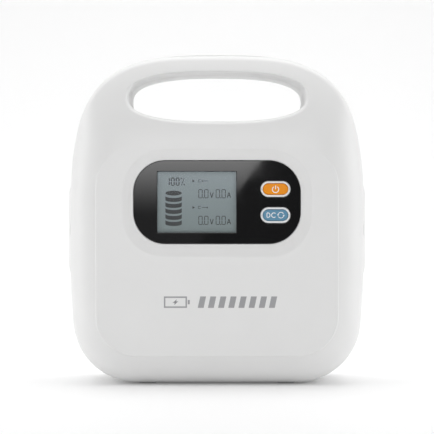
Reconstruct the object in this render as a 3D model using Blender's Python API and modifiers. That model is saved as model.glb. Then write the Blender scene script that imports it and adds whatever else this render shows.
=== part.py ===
"""Portable DC power station: a two-part white case with a carrying handle moulded into its top, a recessed
control panel with an LCD and two push buttons, a hinged port door on each side, and lithium cells inside.

X runs across the front, Y from front to back and Z up. The origin is at the middle of the feet, on the
surface that the station stands on.
"""

import math

import bmesh
import bpy
from mathutils import Matrix, Vector

MM = 0.001

# Case
WIDTH = 195.2 * MM
HEIGHT = 218.0 * MM
DEPTH = 88.0 * MM
WALL = 2.5 * MM
GAP = 0.3 * MM  # between pieces that touch, and at the seam of the two shells
FOOT_PROUD = 0.8 * MM
WIDEST_LEVEL = 95.0 * MM
SIDE_RADIUS = 670.0 * MM
BOTTOM_CORNER_RADIUS = 42.0 * MM
TOP_EXPONENT = 3.4
DRAFT = 0.35 * MM
STRAIGHT_WALL = 24.0 * MM  # from the seam to where the side starts to turn towards the front
EDGE_TURN = 1.685  # the side's quarter turn is this much wider than its band, which leaves a crease
PLATE_INSET = 19.0 * MM
PLATE_TOP_DROP = 61.5 * MM
PLATE_RADIUS = 26.0 * MM
TOP_LEAN = 22.8 * MM  # how much each half gets thinner towards the top of the handle
LEAN_POWER = 1.7
HANDLE_EDGE_RADIUS = 4.0 * MM
SIDE_BAND = 22.0 * MM  # bands narrower than this keep the side's turn
HANDLE_BAND = 45.0 * MM  # bands wider than this have the handle's edge

# Handle opening
OPENING_WIDTH = 116.8 * MM
OPENING_HEIGHT = 33.6 * MM
OPENING_EXPONENT = 2.6
HANDLE_BAR = 11.8 * MM

# Control panel
LENS_WIDTH = 108.8 * MM
LENS_HEIGHT = 54.2 * MM
LENS_RADIUS = 20.8 * MM
LENS_LEVEL = 119.9 * MM
LENS_THICKNESS = 2.0 * MM
RECESS_DEPTH = 3.0 * MM
RECESS_SLOPE_WIDTH = 7.0 * MM
SEAT_THICKNESS = 2.5 * MM
SEAT_MARGIN = 9.0 * MM
SCREEN_WIDTH = 51.5 * MM
SCREEN_HEIGHT = 39.9 * MM
SCREEN_CENTRE_X = -13.2 * MM
LCD_MARGIN = 2.2 * MM
LCD_GLASS = 2.0 * MM
LCD_BACKLIGHT = 4.0 * MM
LCD_FRAME_WALL = 1.4 * MM
BUTTON_X = 38.1 * MM
BUTTON_SPACING = 17.0 * MM
BUTTON_WIDTH = 16.2 * MM
BUTTON_HEIGHT = 7.1 * MM
BUTTON_PROUD = 0.9 * MM
BUTTON_TRAVEL = 0.6 * MM
BUTTON_CLEARANCE = 0.2 * MM
RING_WIDTH = 1.3 * MM
RING_PROUD = 0.3 * MM
BUTTON_FLANGE = 1.0 * MM
BUTTON_STEM_RADIUS = 2.0 * MM
BUTTON_STEM_LENGTH = 2.6 * MM
SWITCH_SIZE = 6.0 * MM
SWITCH_HEIGHT = 3.1 * MM
PLUNGER_RADIUS = 1.7 * MM
PLUNGER_PROUD = 1.1 * MM
PLUNGER_IN_SWITCH = 0.7 * MM
SLIDE_CLEARANCE = 0.15 * MM
BOARD = 1.6 * MM

# Side bays and their doors
DOOR_LEVEL = 102.0 * MM
DOOR_HEIGHT = 60.0 * MM
DOOR_FRONT = 22.5 * MM
DOOR_RADIUS = 8.0 * MM
DOOR_GAP = 0.5 * MM
DOOR_SKIN = 2.4 * MM
DOOR_CROWN = 1.4 * MM
HINGE_BACK = 20.0 * MM  # hinge axis behind the seam
HINGE_DEPTH = 2.3 * MM  # hinge axis below the side of the case
HINGE_REAR_GAP = 1.5 * MM
KNUCKLE_RADIUS = 2.3 * MM
KNUCKLE_CLEARANCE = 0.4 * MM
LUG_LENGTH = 4.3 * MM
PIN_RADIUS = 0.8 * MM
PIN_CLEARANCE = 0.15 * MM
LEDGE = 3.3 * MM
LEDGE_MARGIN = 4.0 * MM
LEDGE_WIDTH = 4.5 * MM
LEDGE_ENDS = 6.0 * MM
BAY_RADIUS = 3.0 * MM
PORT_PLATE = 2.0 * MM
PORT_PLATE_MARGIN = 3.0 * MM
CATCH_HEIGHT = 8.0 * MM
CATCH_THICKNESS = 1.5 * MM
CATCH_DEPTH = 2.0 * MM
NAIL_RADIUS = 7.0 * MM
NAIL_DEPTH = 1.3 * MM

# Ports, at levels above the bay's middle
CAR_LEVEL = 9.5 * MM
CAR_BORE = 10.5 * MM
CAR_BARREL_WALL = 1.2 * MM
CAR_RIM = 13.4 * MM
CAR_RIM_THICKNESS = 1.4 * MM
CAR_BARREL = 38.0 * MM
CAR_BODY_WALL = 1.2 * MM
CAR_CONTACT_RADIUS = 3.5 * MM
USB_A = (13.1 * MM, 5.7 * MM, 14.0 * MM)
USB_A_TONGUE = (11.2 * MM, 1.8 * MM)
USB_C = (9.2 * MM, 3.5 * MM, 8.5 * MM)
USB_C_TONGUE = (6.7 * MM, 0.7 * MM)
USB_WALL = 0.4 * MM
USB_A_LEVEL = -9.6 * MM
USB_A_SPACING = 16.4 * MM
USB_C_LEVEL = -18.6 * MM
JACK_RIM = 5.6 * MM
JACK_LENGTH = 13.0 * MM
JACK_LEVELS = (14.0 * MM, 0.0, -14.0 * MM)
INPUT_JACK = (3.95 * MM, 0.5 * MM)  # radii of the socket and its pin
OUTPUT_JACK = (2.8 * MM, 1.25 * MM)

# Battery pack
CELL_RADIUS = 9.15 * MM
CELL_LENGTH = 65.0 * MM
CELL_PITCH = 19.6 * MM
CELL_SIDES = 10
PACK_COLUMNS = 7
PACK_ROWS = 4
PACK_BOTTOM = 10.7 * MM
HOLDER_RIM = 0.75 * MM
HOLDER_THICKNESS = 7.0 * MM
HOLDER_CLEARANCE = 0.3 * MM
HOLDER_FOOT = 12.0 * MM
HOLDER_FOOT_LIFT = 2.4 * MM  # where the case's floor curves up under the holders
STRIP_WIDTH = 8.0 * MM
STRIP_THICKNESS = 0.3 * MM

# Fixings, feet and boards
SCREW_RADIUS = 1.5 * MM
SCREW_HEAD_RADIUS = 2.8 * MM
SCREW_HEAD_HEIGHT = 2.2 * MM
SCREW_LENGTH = 12.0 * MM
SCREW_CLEARANCE = 0.2 * MM
WELL_RADIUS = 3.4 * MM
WELL_WALL = 1.8 * MM
WELL_FLOOR = 2.4 * MM
LOWER_SCREW = (79.0 * MM, 32.0 * MM)  # from the middle and from the ground
HANDLE_SCREW_DROP = 31.0 * MM
HANDLE_SCREW_SHIFT = 8.2 * MM
FOOT_RADIUS = 6.0 * MM
FOOT_HEIGHT = 1.8 * MM
FOOT_X = 46.0 * MM
FOOT_Y = 16.0 * MM
MAIN_BOARD_SIZE = (120.0 * MM, 62.0 * MM)
MAIN_BOARD_Y = 17.0 * MM
HEAT_SINK = (76.0 * MM, 40.0 * MM, 3.0 * MM)
FIN_HEIGHT = 10.0 * MM
FIN_THICKNESS = 1.6 * MM
FIN_COUNT = 9
LEAD_RADIUS = 1.6 * MM
RIBBON_WIDTH = 16.0 * MM
RIBBON_THICKNESS = 0.5 * MM

OUTLINE_STEPS = 13  # points along a quarter of the top, and half as many on the bottom corner
BAND_STEPS = (0.0, 0.012, 0.04, 0.08, 0.18, 0.34, 0.56, 0.78, 1.0)
ROUND_STEPS = 20

WHITE = ("case_white", (0.86, 0.86, 0.85), 0.42, 0.0)
GLOSS_BLACK = ("panel_black", (0.012, 0.012, 0.013), 0.08, 0.0)
MATT_BLACK = ("bay_black", (0.025, 0.025, 0.027), 0.55, 0.0)
CLEAR = ("clear_acrylic", (0.75, 0.8, 0.8), 0.05, 0.0)
SCREEN = ("lcd_grey_green", (0.42, 0.48, 0.46), 0.3, 0.0)
ORANGE = ("button_orange", (0.86, 0.33, 0.02), 0.35, 0.0)
BLUE = ("button_blue", (0.10, 0.27, 0.40), 0.35, 0.0)
RING_WHITE = ("ring_white", (0.85, 0.87, 0.88), 0.3, 0.0)
STEEL = ("steel", (0.62, 0.62, 0.63), 0.3, 1.0)
SLEEVE = ("cell_sleeve", (0.08, 0.22, 0.55), 0.4, 0.0)
BOARD_GREEN = ("board_green", (0.02, 0.16, 0.07), 0.45, 0.0)
RUBBER = ("foot_rubber", (0.55, 0.55, 0.55), 0.8, 0.0)
ALUMINIUM = ("aluminium", (0.75, 0.76, 0.77), 0.35, 1.0)
RED = ("lead_red", (0.6, 0.02, 0.02), 0.5, 0.0)
BLACK_LEAD = ("lead_black", (0.02, 0.02, 0.02), 0.5, 0.0)

half_width = WIDTH / 2
half_depth_full = DEPTH / 2
body_bottom = FOOT_PROUD
lens_front = -half_depth_full + RECESS_DEPTH
lens_back = lens_front + LENS_THICKNESS
seat_front = lens_back + GAP
seat_back = seat_front + SEAT_THICKNESS
bay_front = DOOR_FRONT - LEDGE_WIDTH
bay_rear = HINGE_BACK - LEDGE_WIDTH + 0.5 * MM
bay_height = DOOR_HEIGHT - 2 * LEDGE_ENDS
bay_middle_y = (bay_rear - bay_front) / 2
bay_floor = half_width - HINGE_DEPTH - GAP - 0.1 * MM
ledge_inner = bay_floor - LEDGE
plate_face = ledge_inner - GAP
hinge_x = half_width - HINGE_DEPTH
opening_level = HEIGHT - HANDLE_BAR - OPENING_HEIGHT / 2
pack_top = PACK_BOTTOM + PACK_ROWS * CELL_PITCH + 2 * HOLDER_RIM


def clear_scene():
    for obj in list(bpy.data.objects):
        bpy.data.objects.remove(obj, do_unlink=True)


def new_collection(name):
    collection = bpy.data.collections.new(name)
    bpy.context.scene.collection.children.link(collection)
    return collection


def material(finish):
    """A Principled material for a finish: its name, colour, roughness and metallic value."""
    name, colour, roughness, metallic = finish
    found = bpy.data.materials.get(name)
    if found:
        return found
    made = bpy.data.materials.new(name)
    made.use_nodes = True
    shader = made.node_tree.nodes["Principled BSDF"]
    shader.inputs["Base Color"].default_value = (*colour, 1.0)
    shader.inputs["Roughness"].default_value = roughness
    shader.inputs["Metallic"].default_value = metallic
    return made


def place(name, mesh, finish, location=(0, 0, 0), rotation=(0, 0, 0)):
    """An object for a piece, or for a cutter where there is no finish."""
    obj = bpy.data.objects.new(name, mesh)
    obj.location = location
    obj.rotation_euler = rotation
    if finish:
        obj.data.materials.append(material(finish))
        PARTS.objects.link(obj)
    else:
        obj.hide_render = True
        obj.display_type = "WIRE"
        CUTTERS.objects.link(obj)
    return obj


def mesh_of(name, bm):
    bmesh.ops.recalc_face_normals(bm, faces=bm.faces)
    mesh = bpy.data.meshes.new(name)
    bm.to_mesh(mesh)
    bm.free()
    return mesh


def box(name, low, high, finish=None):
    """A box between two corners, with its origin in its middle."""
    low, high = Vector(low), Vector(high)
    bm = bmesh.new()
    bmesh.ops.create_cube(bm, size=1.0)
    bmesh.ops.scale(bm, vec=high - low, verts=bm.verts)
    return place(name, mesh_of(name, bm), finish, (low + high) / 2)


def cylinders(name, radius, length, centres, axis="Z", finish=None, sides=ROUND_STEPS):
    """Parallel cylinders in one object, each centred on its own point."""
    quarter = math.pi / 2
    turns = {"X": Matrix.Rotation(quarter, 4, "Y"), "Y": Matrix.Rotation(quarter, 4, "X"), "Z": Matrix()}
    bm = bmesh.new()
    for centre in centres:
        bmesh.ops.create_cone(
            bm,
            cap_ends=True,
            segments=sides,
            radius1=radius,
            radius2=radius,
            depth=length,
            matrix=Matrix.Translation(Vector(centre) - Vector(centres[0])) @ turns[axis],
        )
    return place(name, mesh_of(name, bm), finish, centres[0])


def turned(name, profile, location, rotation, finish, steps=ROUND_STEPS):
    """A turned piece, from points (radius, height) down its outer side. A profile that closes is a ring."""
    closed = profile[0] == profile[-1]
    points = profile[:-1] if closed else profile
    mesh = bpy.data.meshes.new(name)
    edges = [(i, i + 1) for i in range(len(points) - 1)]
    if closed:
        edges.append((len(points) - 1, 0))
    mesh.from_pydata([(radius, 0, height) for radius, height in points], edges, [])
    obj = place(name, mesh, finish, location, rotation)
    screw = obj.modifiers.new("Turn", "SCREW")
    screw.axis = "Z"
    screw.steps = screw.render_steps = steps
    screw.use_merge_vertices = True
    screw.merge_threshold = 0.00001
    screw.use_normal_calculate = False
    return obj


def loft(name, rings, finish=None, location=(0, 0, 0)):
    """A solid skinned over rings of the same number of points, closed by a flat face at each end."""
    bm = bmesh.new()
    rows = [[bm.verts.new(point) for point in ring] for ring in rings]
    count = len(rings[0])
    for lower, upper in zip(rows, rows[1:]):
        for i in range(count):
            j = (i + 1) % count
            bm.faces.new((lower[i], lower[j], upper[j], upper[i]))
    bm.faces.new(rows[0])
    bm.faces.new(rows[-1])
    return place(name, mesh_of(name, bm), finish, location)


def rounded_rectangle(width, height, radius, steps=5):
    """Points of an upright rounded rectangle round its middle, anticlockwise."""
    radius = min(radius, width / 2, height / 2)
    points = []
    for corner, (sx, sy) in enumerate(((1, -1), (1, 1), (-1, 1), (-1, -1))):
        centre = Vector((sx * (width / 2 - radius), sy * (height / 2 - radius)))
        for step in range(steps + 1):
            angle = math.pi / 2 * (corner - 1 + step / steps)
            point = centre + radius * Vector((math.cos(angle), math.sin(angle)))
            if not points or (point - points[-1]).length > 0.01 * MM:
                points.append(point)
    return points if (points[0] - points[-1]).length > 0.01 * MM else points[:-1]


def front_prism(name, outline, centre, front, back, finish=None):
    """An upright outline in X and Z, extruded in Y from front to back."""
    x, z = centre
    return loft(name, [[(x + p.x, y, z + p.y) for p in outline] for y in (front, back)], finish)


def side_prism(name, outline, centre, inner, outer, side, finish=None):
    """An outline in Y and Z, extruded in X between two distances from the middle, on one side of the case."""
    y, z = centre
    return loft(name, [[(side * x, y + p.x, z + p.y) for p in outline] for x in (inner, outer)], finish)


def boolean(obj, other, operation):
    modifier = obj.modifiers.new(operation.title(), "BOOLEAN")
    modifier.operation = operation
    modifier.object = other
    modifier.solver = "EXACT"


def cut(obj, *cutters):
    for cutter in cutters:
        boolean(obj, cutter, "DIFFERENCE")


def join(obj, *others):
    for other in others:
        boolean(obj, other, "UNION")


# ---------------------------------------------------------------- case outline


def silhouette():
    """The body's outline in X and Z, anticlockwise from the right end of its flat bottom."""
    flat = half_width - SIDE_RADIUS
    corner_z = body_bottom + BOTTOM_CORNER_RADIUS
    reach = SIDE_RADIUS - BOTTOM_CORNER_RADIUS
    corner_x = flat + math.sqrt(reach**2 - (WIDEST_LEVEL - corner_z) ** 2)
    lean = math.atan2(WIDEST_LEVEL - corner_z, corner_x - flat)
    right = []
    corner_steps = OUTLINE_STEPS // 2
    for step in range(corner_steps + 1):
        angle = -math.pi / 2 + (math.pi / 2 - lean) * step / corner_steps
        x = corner_x + BOTTOM_CORNER_RADIUS * math.cos(angle)
        right.append((x, corner_z + BOTTOM_CORNER_RADIUS * math.sin(angle)))
    right.append((flat + SIDE_RADIUS * math.cos(lean / 2), WIDEST_LEVEL - SIDE_RADIUS * math.sin(lean / 2)))
    power = 2 / TOP_EXPONENT
    for step in range(OUTLINE_STEPS):
        angle = math.pi / 2 * step / OUTLINE_STEPS
        rise = (HEIGHT - WIDEST_LEVEL) * math.sin(angle) ** power
        right.append((half_width * math.cos(angle) ** power, WIDEST_LEVEL + rise))
    left = [(-x, z) for x, z in reversed(right)]
    return [Vector(p) for p in [*right, (0, HEIGHT), *left]]


def offset(outline, distance):
    """A closed anticlockwise outline moved outwards by a distance."""
    moved = []
    for i, point in enumerate(outline):
        before, after = outline[i - 1], outline[(i + 1) % len(outline)]
        first, second = (point - before).normalized(), (after - point).normalized()
        normal = Vector((first.y + second.y, -first.x - second.x)).normalized()
        across = normal.dot(Vector((first.y, -first.x)))
        moved.append(point + normal * distance / across)
    return moved


def nearest_on_plate(point):
    """The nearest point of the raised plate's outline."""
    low_z = body_bottom + PLATE_INSET
    high_z = HEIGHT - PLATE_TOP_DROP
    reach = half_width - PLATE_INSET - PLATE_RADIUS
    x = max(-reach, min(reach, point.x))
    z = max(low_z + PLATE_RADIUS, min(high_z - PLATE_RADIUS, point.y))
    core = Vector((x, z))
    return core + (point - core).normalized() * PLATE_RADIUS


def quarter_turn(share):
    """Height of a quarter circle of radius 1, at a share of its width from its steep end."""
    return math.sqrt(max(0.0, 1 - (1 - min(1.0, share)) ** 2))


def surface_depth(inset, beyond):
    """How far the surface stands from the seam, inset from the silhouette and beyond the plate's outline."""
    band = inset + beyond
    turn_height = (half_depth_full - STRAIGHT_WALL) / quarter_turn(1 / EDGE_TURN)
    side = STRAIGHT_WALL + turn_height * quarter_turn(inset / band / EDGE_TURN)
    lean = TOP_LEAN * (beyond / PLATE_TOP_DROP) ** LEAN_POWER
    top = half_depth_full - lean - HANDLE_EDGE_RADIUS * (1 - quarter_turn(inset / HANDLE_EDGE_RADIUS))
    share = max(0.0, min(1.0, (band - SIDE_BAND) / (HANDLE_BAND - SIDE_BAND)))
    blend = share * share * (3 - 2 * share)
    return side + (top - side) * blend


def body_half(name, facing, inset):
    """Half of the body as a solid, from past the seam to the plate, with its skin moved in by the inset."""
    outline = silhouette()
    wall_top = offset(outline, -DRAFT)
    rings = [[Vector((p.x, -facing * 2 * WALL, p.y)) for p in outline]]
    for share in BAND_STEPS:
        ring = []
        for start in wall_top:
            end = nearest_on_plate(start)
            band = (end - start).length
            point = start + (end - start) * share
            ring.append(Vector((point.x, facing * surface_depth(share * band, (1 - share) * band), point.y)))
        rings.append(ring)
    bm = bmesh.new()
    rows = [[bm.verts.new(p) for p in ring] for ring in rings]
    count = len(outline)
    for lower, upper in zip(rows, rows[1:]):
        for i in range(count):
            j = (i + 1) % count
            corners = (lower[i], lower[j], upper[j], upper[i])
            bm.faces.new(corners if facing < 0 else corners[::-1])
    bm.faces.new(rows[-1] if facing < 0 else rows[-1][::-1])
    bm.normal_update()
    for vertex in bm.verts:
        vertex.co -= vertex.normal * inset
    bm.faces.new(rows[0])
    return place(name, mesh_of(name, bm), None)


def opening_outline():
    power = 2 / OPENING_EXPONENT
    points = []
    for step in range(32):
        angle = math.tau * (step + 0.5) / 32
        c, s = math.cos(angle), math.sin(angle)
        x = math.copysign(abs(c) ** power, c) * OPENING_WIDTH / 2
        z = math.copysign(abs(s) ** power, s) * OPENING_HEIGHT / 2
        points.append(Vector((x, z)))
    return points


def screw_places():
    """X and Z of the four case screws."""
    beside_opening = (OPENING_WIDTH / 2 + half_width) / 2 - HANDLE_SCREW_SHIFT
    rows = (LOWER_SCREW, (beside_opening, HEIGHT - HANDLE_SCREW_DROP))
    return [(side * x, z) for x, z in rows for side in (-1, 1)]


# ---------------------------------------------------------------- case shells


def door_pocket(side):
    """Cutter for the door's recess, which leaves a lug standing at each end of the hinge."""
    front, rear = -DOOR_FRONT - DOOR_GAP, HINGE_BACK + KNUCKLE_RADIUS + HINGE_REAR_GAP
    height = DOOR_HEIGHT + 2 * DOOR_GAP
    pocket = side_prism(
        f"door_pocket_{side}",
        rounded_rectangle(rear - front, height, DOOR_RADIUS + DOOR_GAP),
        ((front + rear) / 2, DOOR_LEVEL),
        bay_floor,
        half_width + 5 * MM,
        side,
    )
    lug_front = HINGE_BACK - 2.2 * MM
    x_low, x_high = sorted((side * (bay_floor - 1 * MM), side * (half_width + 6 * MM)))
    for end in (-1, 1):
        reaches = (height / 2 - LUG_LENGTH, height / 2 + 2 * MM)
        z_low, z_high = sorted(DOOR_LEVEL + end * reach for reach in reaches)
        lug = box(f"lug_room_{side}_{end}", (x_low, lug_front, z_low), (x_high, rear + 2 * MM, z_high))
        cut(pocket, lug)
    return pocket


def bay_cutters(side):
    """Everything that is cut from the side of the case for one bay."""
    window = side_prism(
        f"bay_window_{side}",
        rounded_rectangle(bay_front + bay_rear, bay_height, BAY_RADIUS, 3),
        (bay_middle_y, DOOR_LEVEL),
        ledge_inner - 2 * MM,
        half_width + 1 * MM,
        side,
    )
    knuckle_length = DOOR_HEIGHT + 2 * DOOR_GAP - 2 * LUG_LENGTH
    channel = cylinders(
        f"hinge_channel_{side}",
        KNUCKLE_RADIUS + KNUCKLE_CLEARANCE,
        knuckle_length,
        [(side * hinge_x, HINGE_BACK, DOOR_LEVEL)],
    )
    pin_hole = cylinders(
        f"pin_hole_{side}",
        PIN_RADIUS + PIN_CLEARANCE,
        DOOR_HEIGHT + 2 * LEDGE_MARGIN + 3 * MM,
        [(side * hinge_x, HINGE_BACK, DOOR_LEVEL)],
        sides=12,
    )
    slot_x = sorted((side * (ledge_inner - 1 * MM), side * (bay_floor + 1 * MM)))
    catch_front = -DOOR_FRONT + 1.0 * MM
    slot = box(
        f"catch_slot_{side}",
        (slot_x[0], catch_front - 0.7 * MM, DOOR_LEVEL - CATCH_HEIGHT / 2 - 0.6 * MM),
        (slot_x[1], catch_front + CATCH_THICKNESS + 0.6 * MM, DOOR_LEVEL + CATCH_HEIGHT / 2 + 0.6 * MM),
    )
    nail = cylinders(
        f"nail_recess_{side}",
        NAIL_RADIUS,
        NAIL_DEPTH + 4 * MM,
        [(side * (half_width + 2 * MM - NAIL_DEPTH / 2), -DOOR_FRONT, DOOR_LEVEL)],
        "X",
    )
    return [door_pocket(side), window, channel, pin_hole, slot, nail]


def bay_frame(side):
    """The thick frame inside the wall, round a bay."""
    margin = LEDGE_MARGIN + DOOR_GAP
    rear = HINGE_BACK + KNUCKLE_RADIUS + HINGE_REAR_GAP
    low = (side * ledge_inner, -DOOR_FRONT - margin, DOOR_LEVEL - DOOR_HEIGHT / 2 - margin)
    high = (side * (half_width + 3 * MM), rear + LEDGE_MARGIN, DOOR_LEVEL + DOOR_HEIGHT / 2 + margin)
    return box(
        f"bay_frame_{side}",
        (min(low[0], high[0]), low[1], low[2]),
        (max(low[0], high[0]), high[1], high[2]),
    )


def shell(name, facing, islands, cutters):
    """One half of the case: the body less its cavity, which leaves out the islands that stand inside."""
    outside = body_half(f"{name}_outside", facing, 0.0)
    cavity = body_half(f"{name}_cavity", facing, WALL)
    cut(cavity, *islands)
    half = place(name, outside.data.copy(), WHITE)
    bpy.data.objects.remove(outside)
    near, far = sorted((facing * GAP / 2, -facing * DEPTH))
    seam = box(f"{name}_seam", (-WIDTH, near, -WALL), (WIDTH, far, HEIGHT + WALL))
    cut(half, cavity, *cutters, seam)
    return half


def screw_posts(name, middle_y):
    centres = [(x, middle_y, z) for x, z in screw_places()]
    return cylinders(name, WELL_RADIUS + WELL_WALL, DEPTH, centres, "Y", sides=14)


def shells():
    opening = opening_outline()
    tunnel = front_prism("tunnel", opening, (0, opening_level), -DEPTH, DEPTH)
    tunnel_wall = front_prism("tunnel_wall", offset(opening, WALL), (0, opening_level), -DEPTH, DEPTH)
    frames = [bay_frame(side) for side in (-1, 1)]
    bays = [cutter for side in (-1, 1) for cutter in bay_cutters(side)]
    feet = cylinders(
        "foot_pockets",
        FOOT_RADIUS + GAP,
        4 * MM,
        [(x, y, FOOT_HEIGHT + GAP - 2 * MM) for x in (-FOOT_X, FOOT_X) for y in (-FOOT_Y, FOOT_Y)],
    )

    lens = rounded_rectangle(LENS_WIDTH, LENS_HEIGHT, LENS_RADIUS)
    seat = front_prism("lens_seat", offset(lens, SEAT_MARGIN), (0, LENS_LEVEL), -DEPTH, seat_back)
    slope_run = RECESS_SLOPE_WIDTH - GAP
    past = 2 * MM
    recess_rings = []
    for y, grown in (
        (seat_front, GAP),
        (lens_front, GAP),
        (-half_depth_full - past, GAP + slope_run * (RECESS_DEPTH + past) / RECESS_DEPTH),
    ):
        recess_rings.append([(p.x, y, LENS_LEVEL + p.y) for p in offset(lens, grown)])
    recess = loft("panel_recess", recess_rings)
    screen_x = SCREEN_CENTRE_X
    lcd_half = (SCREEN_WIDTH / 2 + LCD_MARGIN + GAP, SCREEN_HEIGHT / 2 + LCD_MARGIN + GAP)
    screen = box(
        "screen_aperture",
        (screen_x - lcd_half[0], seat_front - 1 * MM, LENS_LEVEL - lcd_half[1]),
        (screen_x + lcd_half[0], seat_back + 1 * MM, LENS_LEVEL + lcd_half[1]),
    )
    outline = pill(BUTTON_CLEARANCE + GAP)
    holes = [
        front_prism(f"aperture_{i}", outline, (BUTTON_X, level), seat_front - 1 * MM, seat_back + 1 * MM)
        for i, level in enumerate(button_levels())
    ]
    places = screw_places()
    posts = screw_posts("screw_posts", -half_depth_full + WALL)
    bores = cylinders(
        "screw_bores",
        SCREW_RADIUS + SCREW_CLEARANCE,
        2 * SCREW_LENGTH,
        [(x, 0, z) for x, z in places],
        "Y",
        sides=10,
    )
    panel_cuts = [recess, screen, *holes]
    shell("front_shell", -1, [tunnel_wall, seat, *frames, posts], [tunnel, *bays, feet, *panel_cuts, bores])

    wells = cylinders(
        "screw_wells",
        WELL_RADIUS,
        DEPTH,
        [(x, GAP / 2 + WELL_FLOOR + half_depth_full, z) for x, z in places],
        "Y",
        sides=14,
    )
    rear_posts = screw_posts("well_posts", half_depth_full - WALL)
    shell("rear_shell", 1, [tunnel_wall, *frames, rear_posts], [tunnel, *bays, feet, bores, wells])


# ---------------------------------------------------------------- control panel


def button_levels():
    return LENS_LEVEL + BUTTON_SPACING / 2, LENS_LEVEL - BUTTON_SPACING / 2


def pill(grown):
    """The outline of a button cap, grown all round."""
    return rounded_rectangle(BUTTON_WIDTH + 2 * grown, BUTTON_HEIGHT + 2 * grown, BUTTON_WIDTH)


def control_panel():
    lens = rounded_rectangle(LENS_WIDTH, LENS_HEIGHT, LENS_RADIUS)
    panel = front_prism("fascia_panel", lens, (0, LENS_LEVEL), lens_front, lens_back, GLOSS_BLACK)
    half = (SCREEN_WIDTH / 2, SCREEN_HEIGHT / 2)
    x = SCREEN_CENTRE_X
    aperture = box(
        "window_aperture",
        (x - half[0], lens_front - 1 * MM, LENS_LEVEL - half[1]),
        (x + half[0], lens_back + 1 * MM, LENS_LEVEL + half[1]),
    )
    cut(panel, aperture)
    box(
        "display_window",
        (x - half[0] + GAP, lens_front, LENS_LEVEL - half[1] + GAP),
        (x + half[0] - GAP, lens_back, LENS_LEVEL + half[1] - GAP),
        CLEAR,
    )
    ring_inner = BUTTON_CLEARANCE
    ring_outer = ring_inner + RING_WIDTH
    for name, level, finish in zip(("power", "dc"), button_levels(), (ORANGE, BLUE)):
        middle = (BUTTON_X, level)
        past = 3 * MM
        outline = pill(ring_outer + GAP)
        hole = front_prism(f"{name}_ring_hole", outline, middle, lens_front - past, lens_back + past)
        cut(panel, hole)
        proud = lens_front - RING_PROUD
        ring = front_prism(f"{name}_button_ring", pill(ring_outer), middle, proud, lens_back, RING_WHITE)
        inside = front_prism(f"{name}_inside", pill(ring_inner), middle, lens_front - past, lens_back + past)
        cut(ring, inside)
        button(name, level, finish)


def button(name, level, finish):
    """A pill-shaped cap with a flange that keeps it in, and a stem that presses its switch."""
    face = lens_front - BUTTON_PROUD
    flange_front = seat_back + GAP
    flange_back = flange_front + BUTTON_FLANGE
    stem_back = flange_back + BUTTON_STEM_LENGTH
    cap = pill(0.0)
    soft = 0.5 * MM
    rings = [
        [(p.x, y, p.y) for p in offset(cap, -inset)]
        for y, inset in ((face, 2 * soft), (face + 0.3 * soft, soft), (face + soft, 0.0), (flange_front, 0.0))
    ]
    flange = offset(cap, RING_WIDTH)
    rings += [[(p.x, y, p.y) for p in flange] for y in (flange_front + 0.01 * MM, flange_back)]
    made = loft(f"{name}_button", rings, finish, (BUTTON_X, 0, level))
    stem = cylinders(
        f"{name}_stem",
        BUTTON_STEM_RADIUS,
        BUTTON_STEM_LENGTH + 0.5 * MM,
        [(BUTTON_X, (flange_back - 0.5 * MM + stem_back) / 2, level)],
        "Y",
        sides=12,
    )
    join(made, stem)

    tip = stem_back + GAP
    switch_front = tip + PLUNGER_PROUD
    body = box(
        f"{name}_switch",
        (BUTTON_X - SWITCH_SIZE / 2, switch_front, level - SWITCH_SIZE / 2),
        (BUTTON_X + SWITCH_SIZE / 2, switch_front + SWITCH_HEIGHT, level + SWITCH_SIZE / 2),
        MATT_BLACK,
    )
    depth = PLUNGER_IN_SWITCH + BUTTON_TRAVEL + GAP
    bore = cylinders(
        f"{name}_switch_bore",
        PLUNGER_RADIUS + SLIDE_CLEARANCE,
        2 * depth,
        [(BUTTON_X, switch_front, level)],
        "Y",
        sides=12,
    )
    cut(body, bore)
    cylinders(
        f"{name}_switch_plunger",
        PLUNGER_RADIUS,
        PLUNGER_PROUD + PLUNGER_IN_SWITCH,
        [(BUTTON_X, tip + (PLUNGER_PROUD + PLUNGER_IN_SWITCH) / 2, level)],
        "Y",
        MATT_BLACK,
        12,
    )


def control_board_front():
    """Y of the control board's front face, where the switches sit."""
    return seat_back + GAP + BUTTON_FLANGE + BUTTON_STEM_LENGTH + GAP + PLUNGER_PROUD + SWITCH_HEIGHT + GAP


def display():
    board = control_board_front()
    x = SCREEN_CENTRE_X
    half = (SCREEN_WIDTH / 2 + LCD_MARGIN, SCREEN_HEIGHT / 2 + LCD_MARGIN)
    low, high = (x - half[0], LENS_LEVEL - half[1]), (x + half[0], LENS_LEVEL + half[1])
    glass_front = lens_back + GAP
    glass_back = glass_front + LCD_GLASS
    light_back = glass_back + GAP + LCD_BACKLIGHT
    box("lcd_glass", (low[0], glass_front, low[1]), (high[0], glass_back, high[1]), SCREEN)
    box("lcd_backlight", (low[0], glass_back + GAP, low[1]), (high[0], light_back, high[1]), RING_WHITE)
    frame_front = seat_back + GAP
    wall = LCD_FRAME_WALL
    frame = box(
        "lcd_frame",
        (low[0] - GAP - wall, frame_front, low[1] - GAP - wall),
        (high[0] + GAP + wall, board - GAP, high[1] + GAP + wall),
        MATT_BLACK,
    )
    inside = box(
        "lcd_frame_inside",
        (low[0] - GAP, frame_front - 1 * MM, low[1] - GAP),
        (high[0] + GAP, board + 1 * MM, high[1] + GAP),
    )
    cut(frame, inside)
    board_half = (LENS_WIDTH / 2 - 4 * MM, LENS_HEIGHT / 2 - 1 * MM)
    box(
        "control_board",
        (-board_half[0], board, LENS_LEVEL - board_half[1]),
        (board_half[0], board + BOARD, LENS_LEVEL + board_half[1]),
        BOARD_GREEN,
    )


# ---------------------------------------------------------------- side doors


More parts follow.
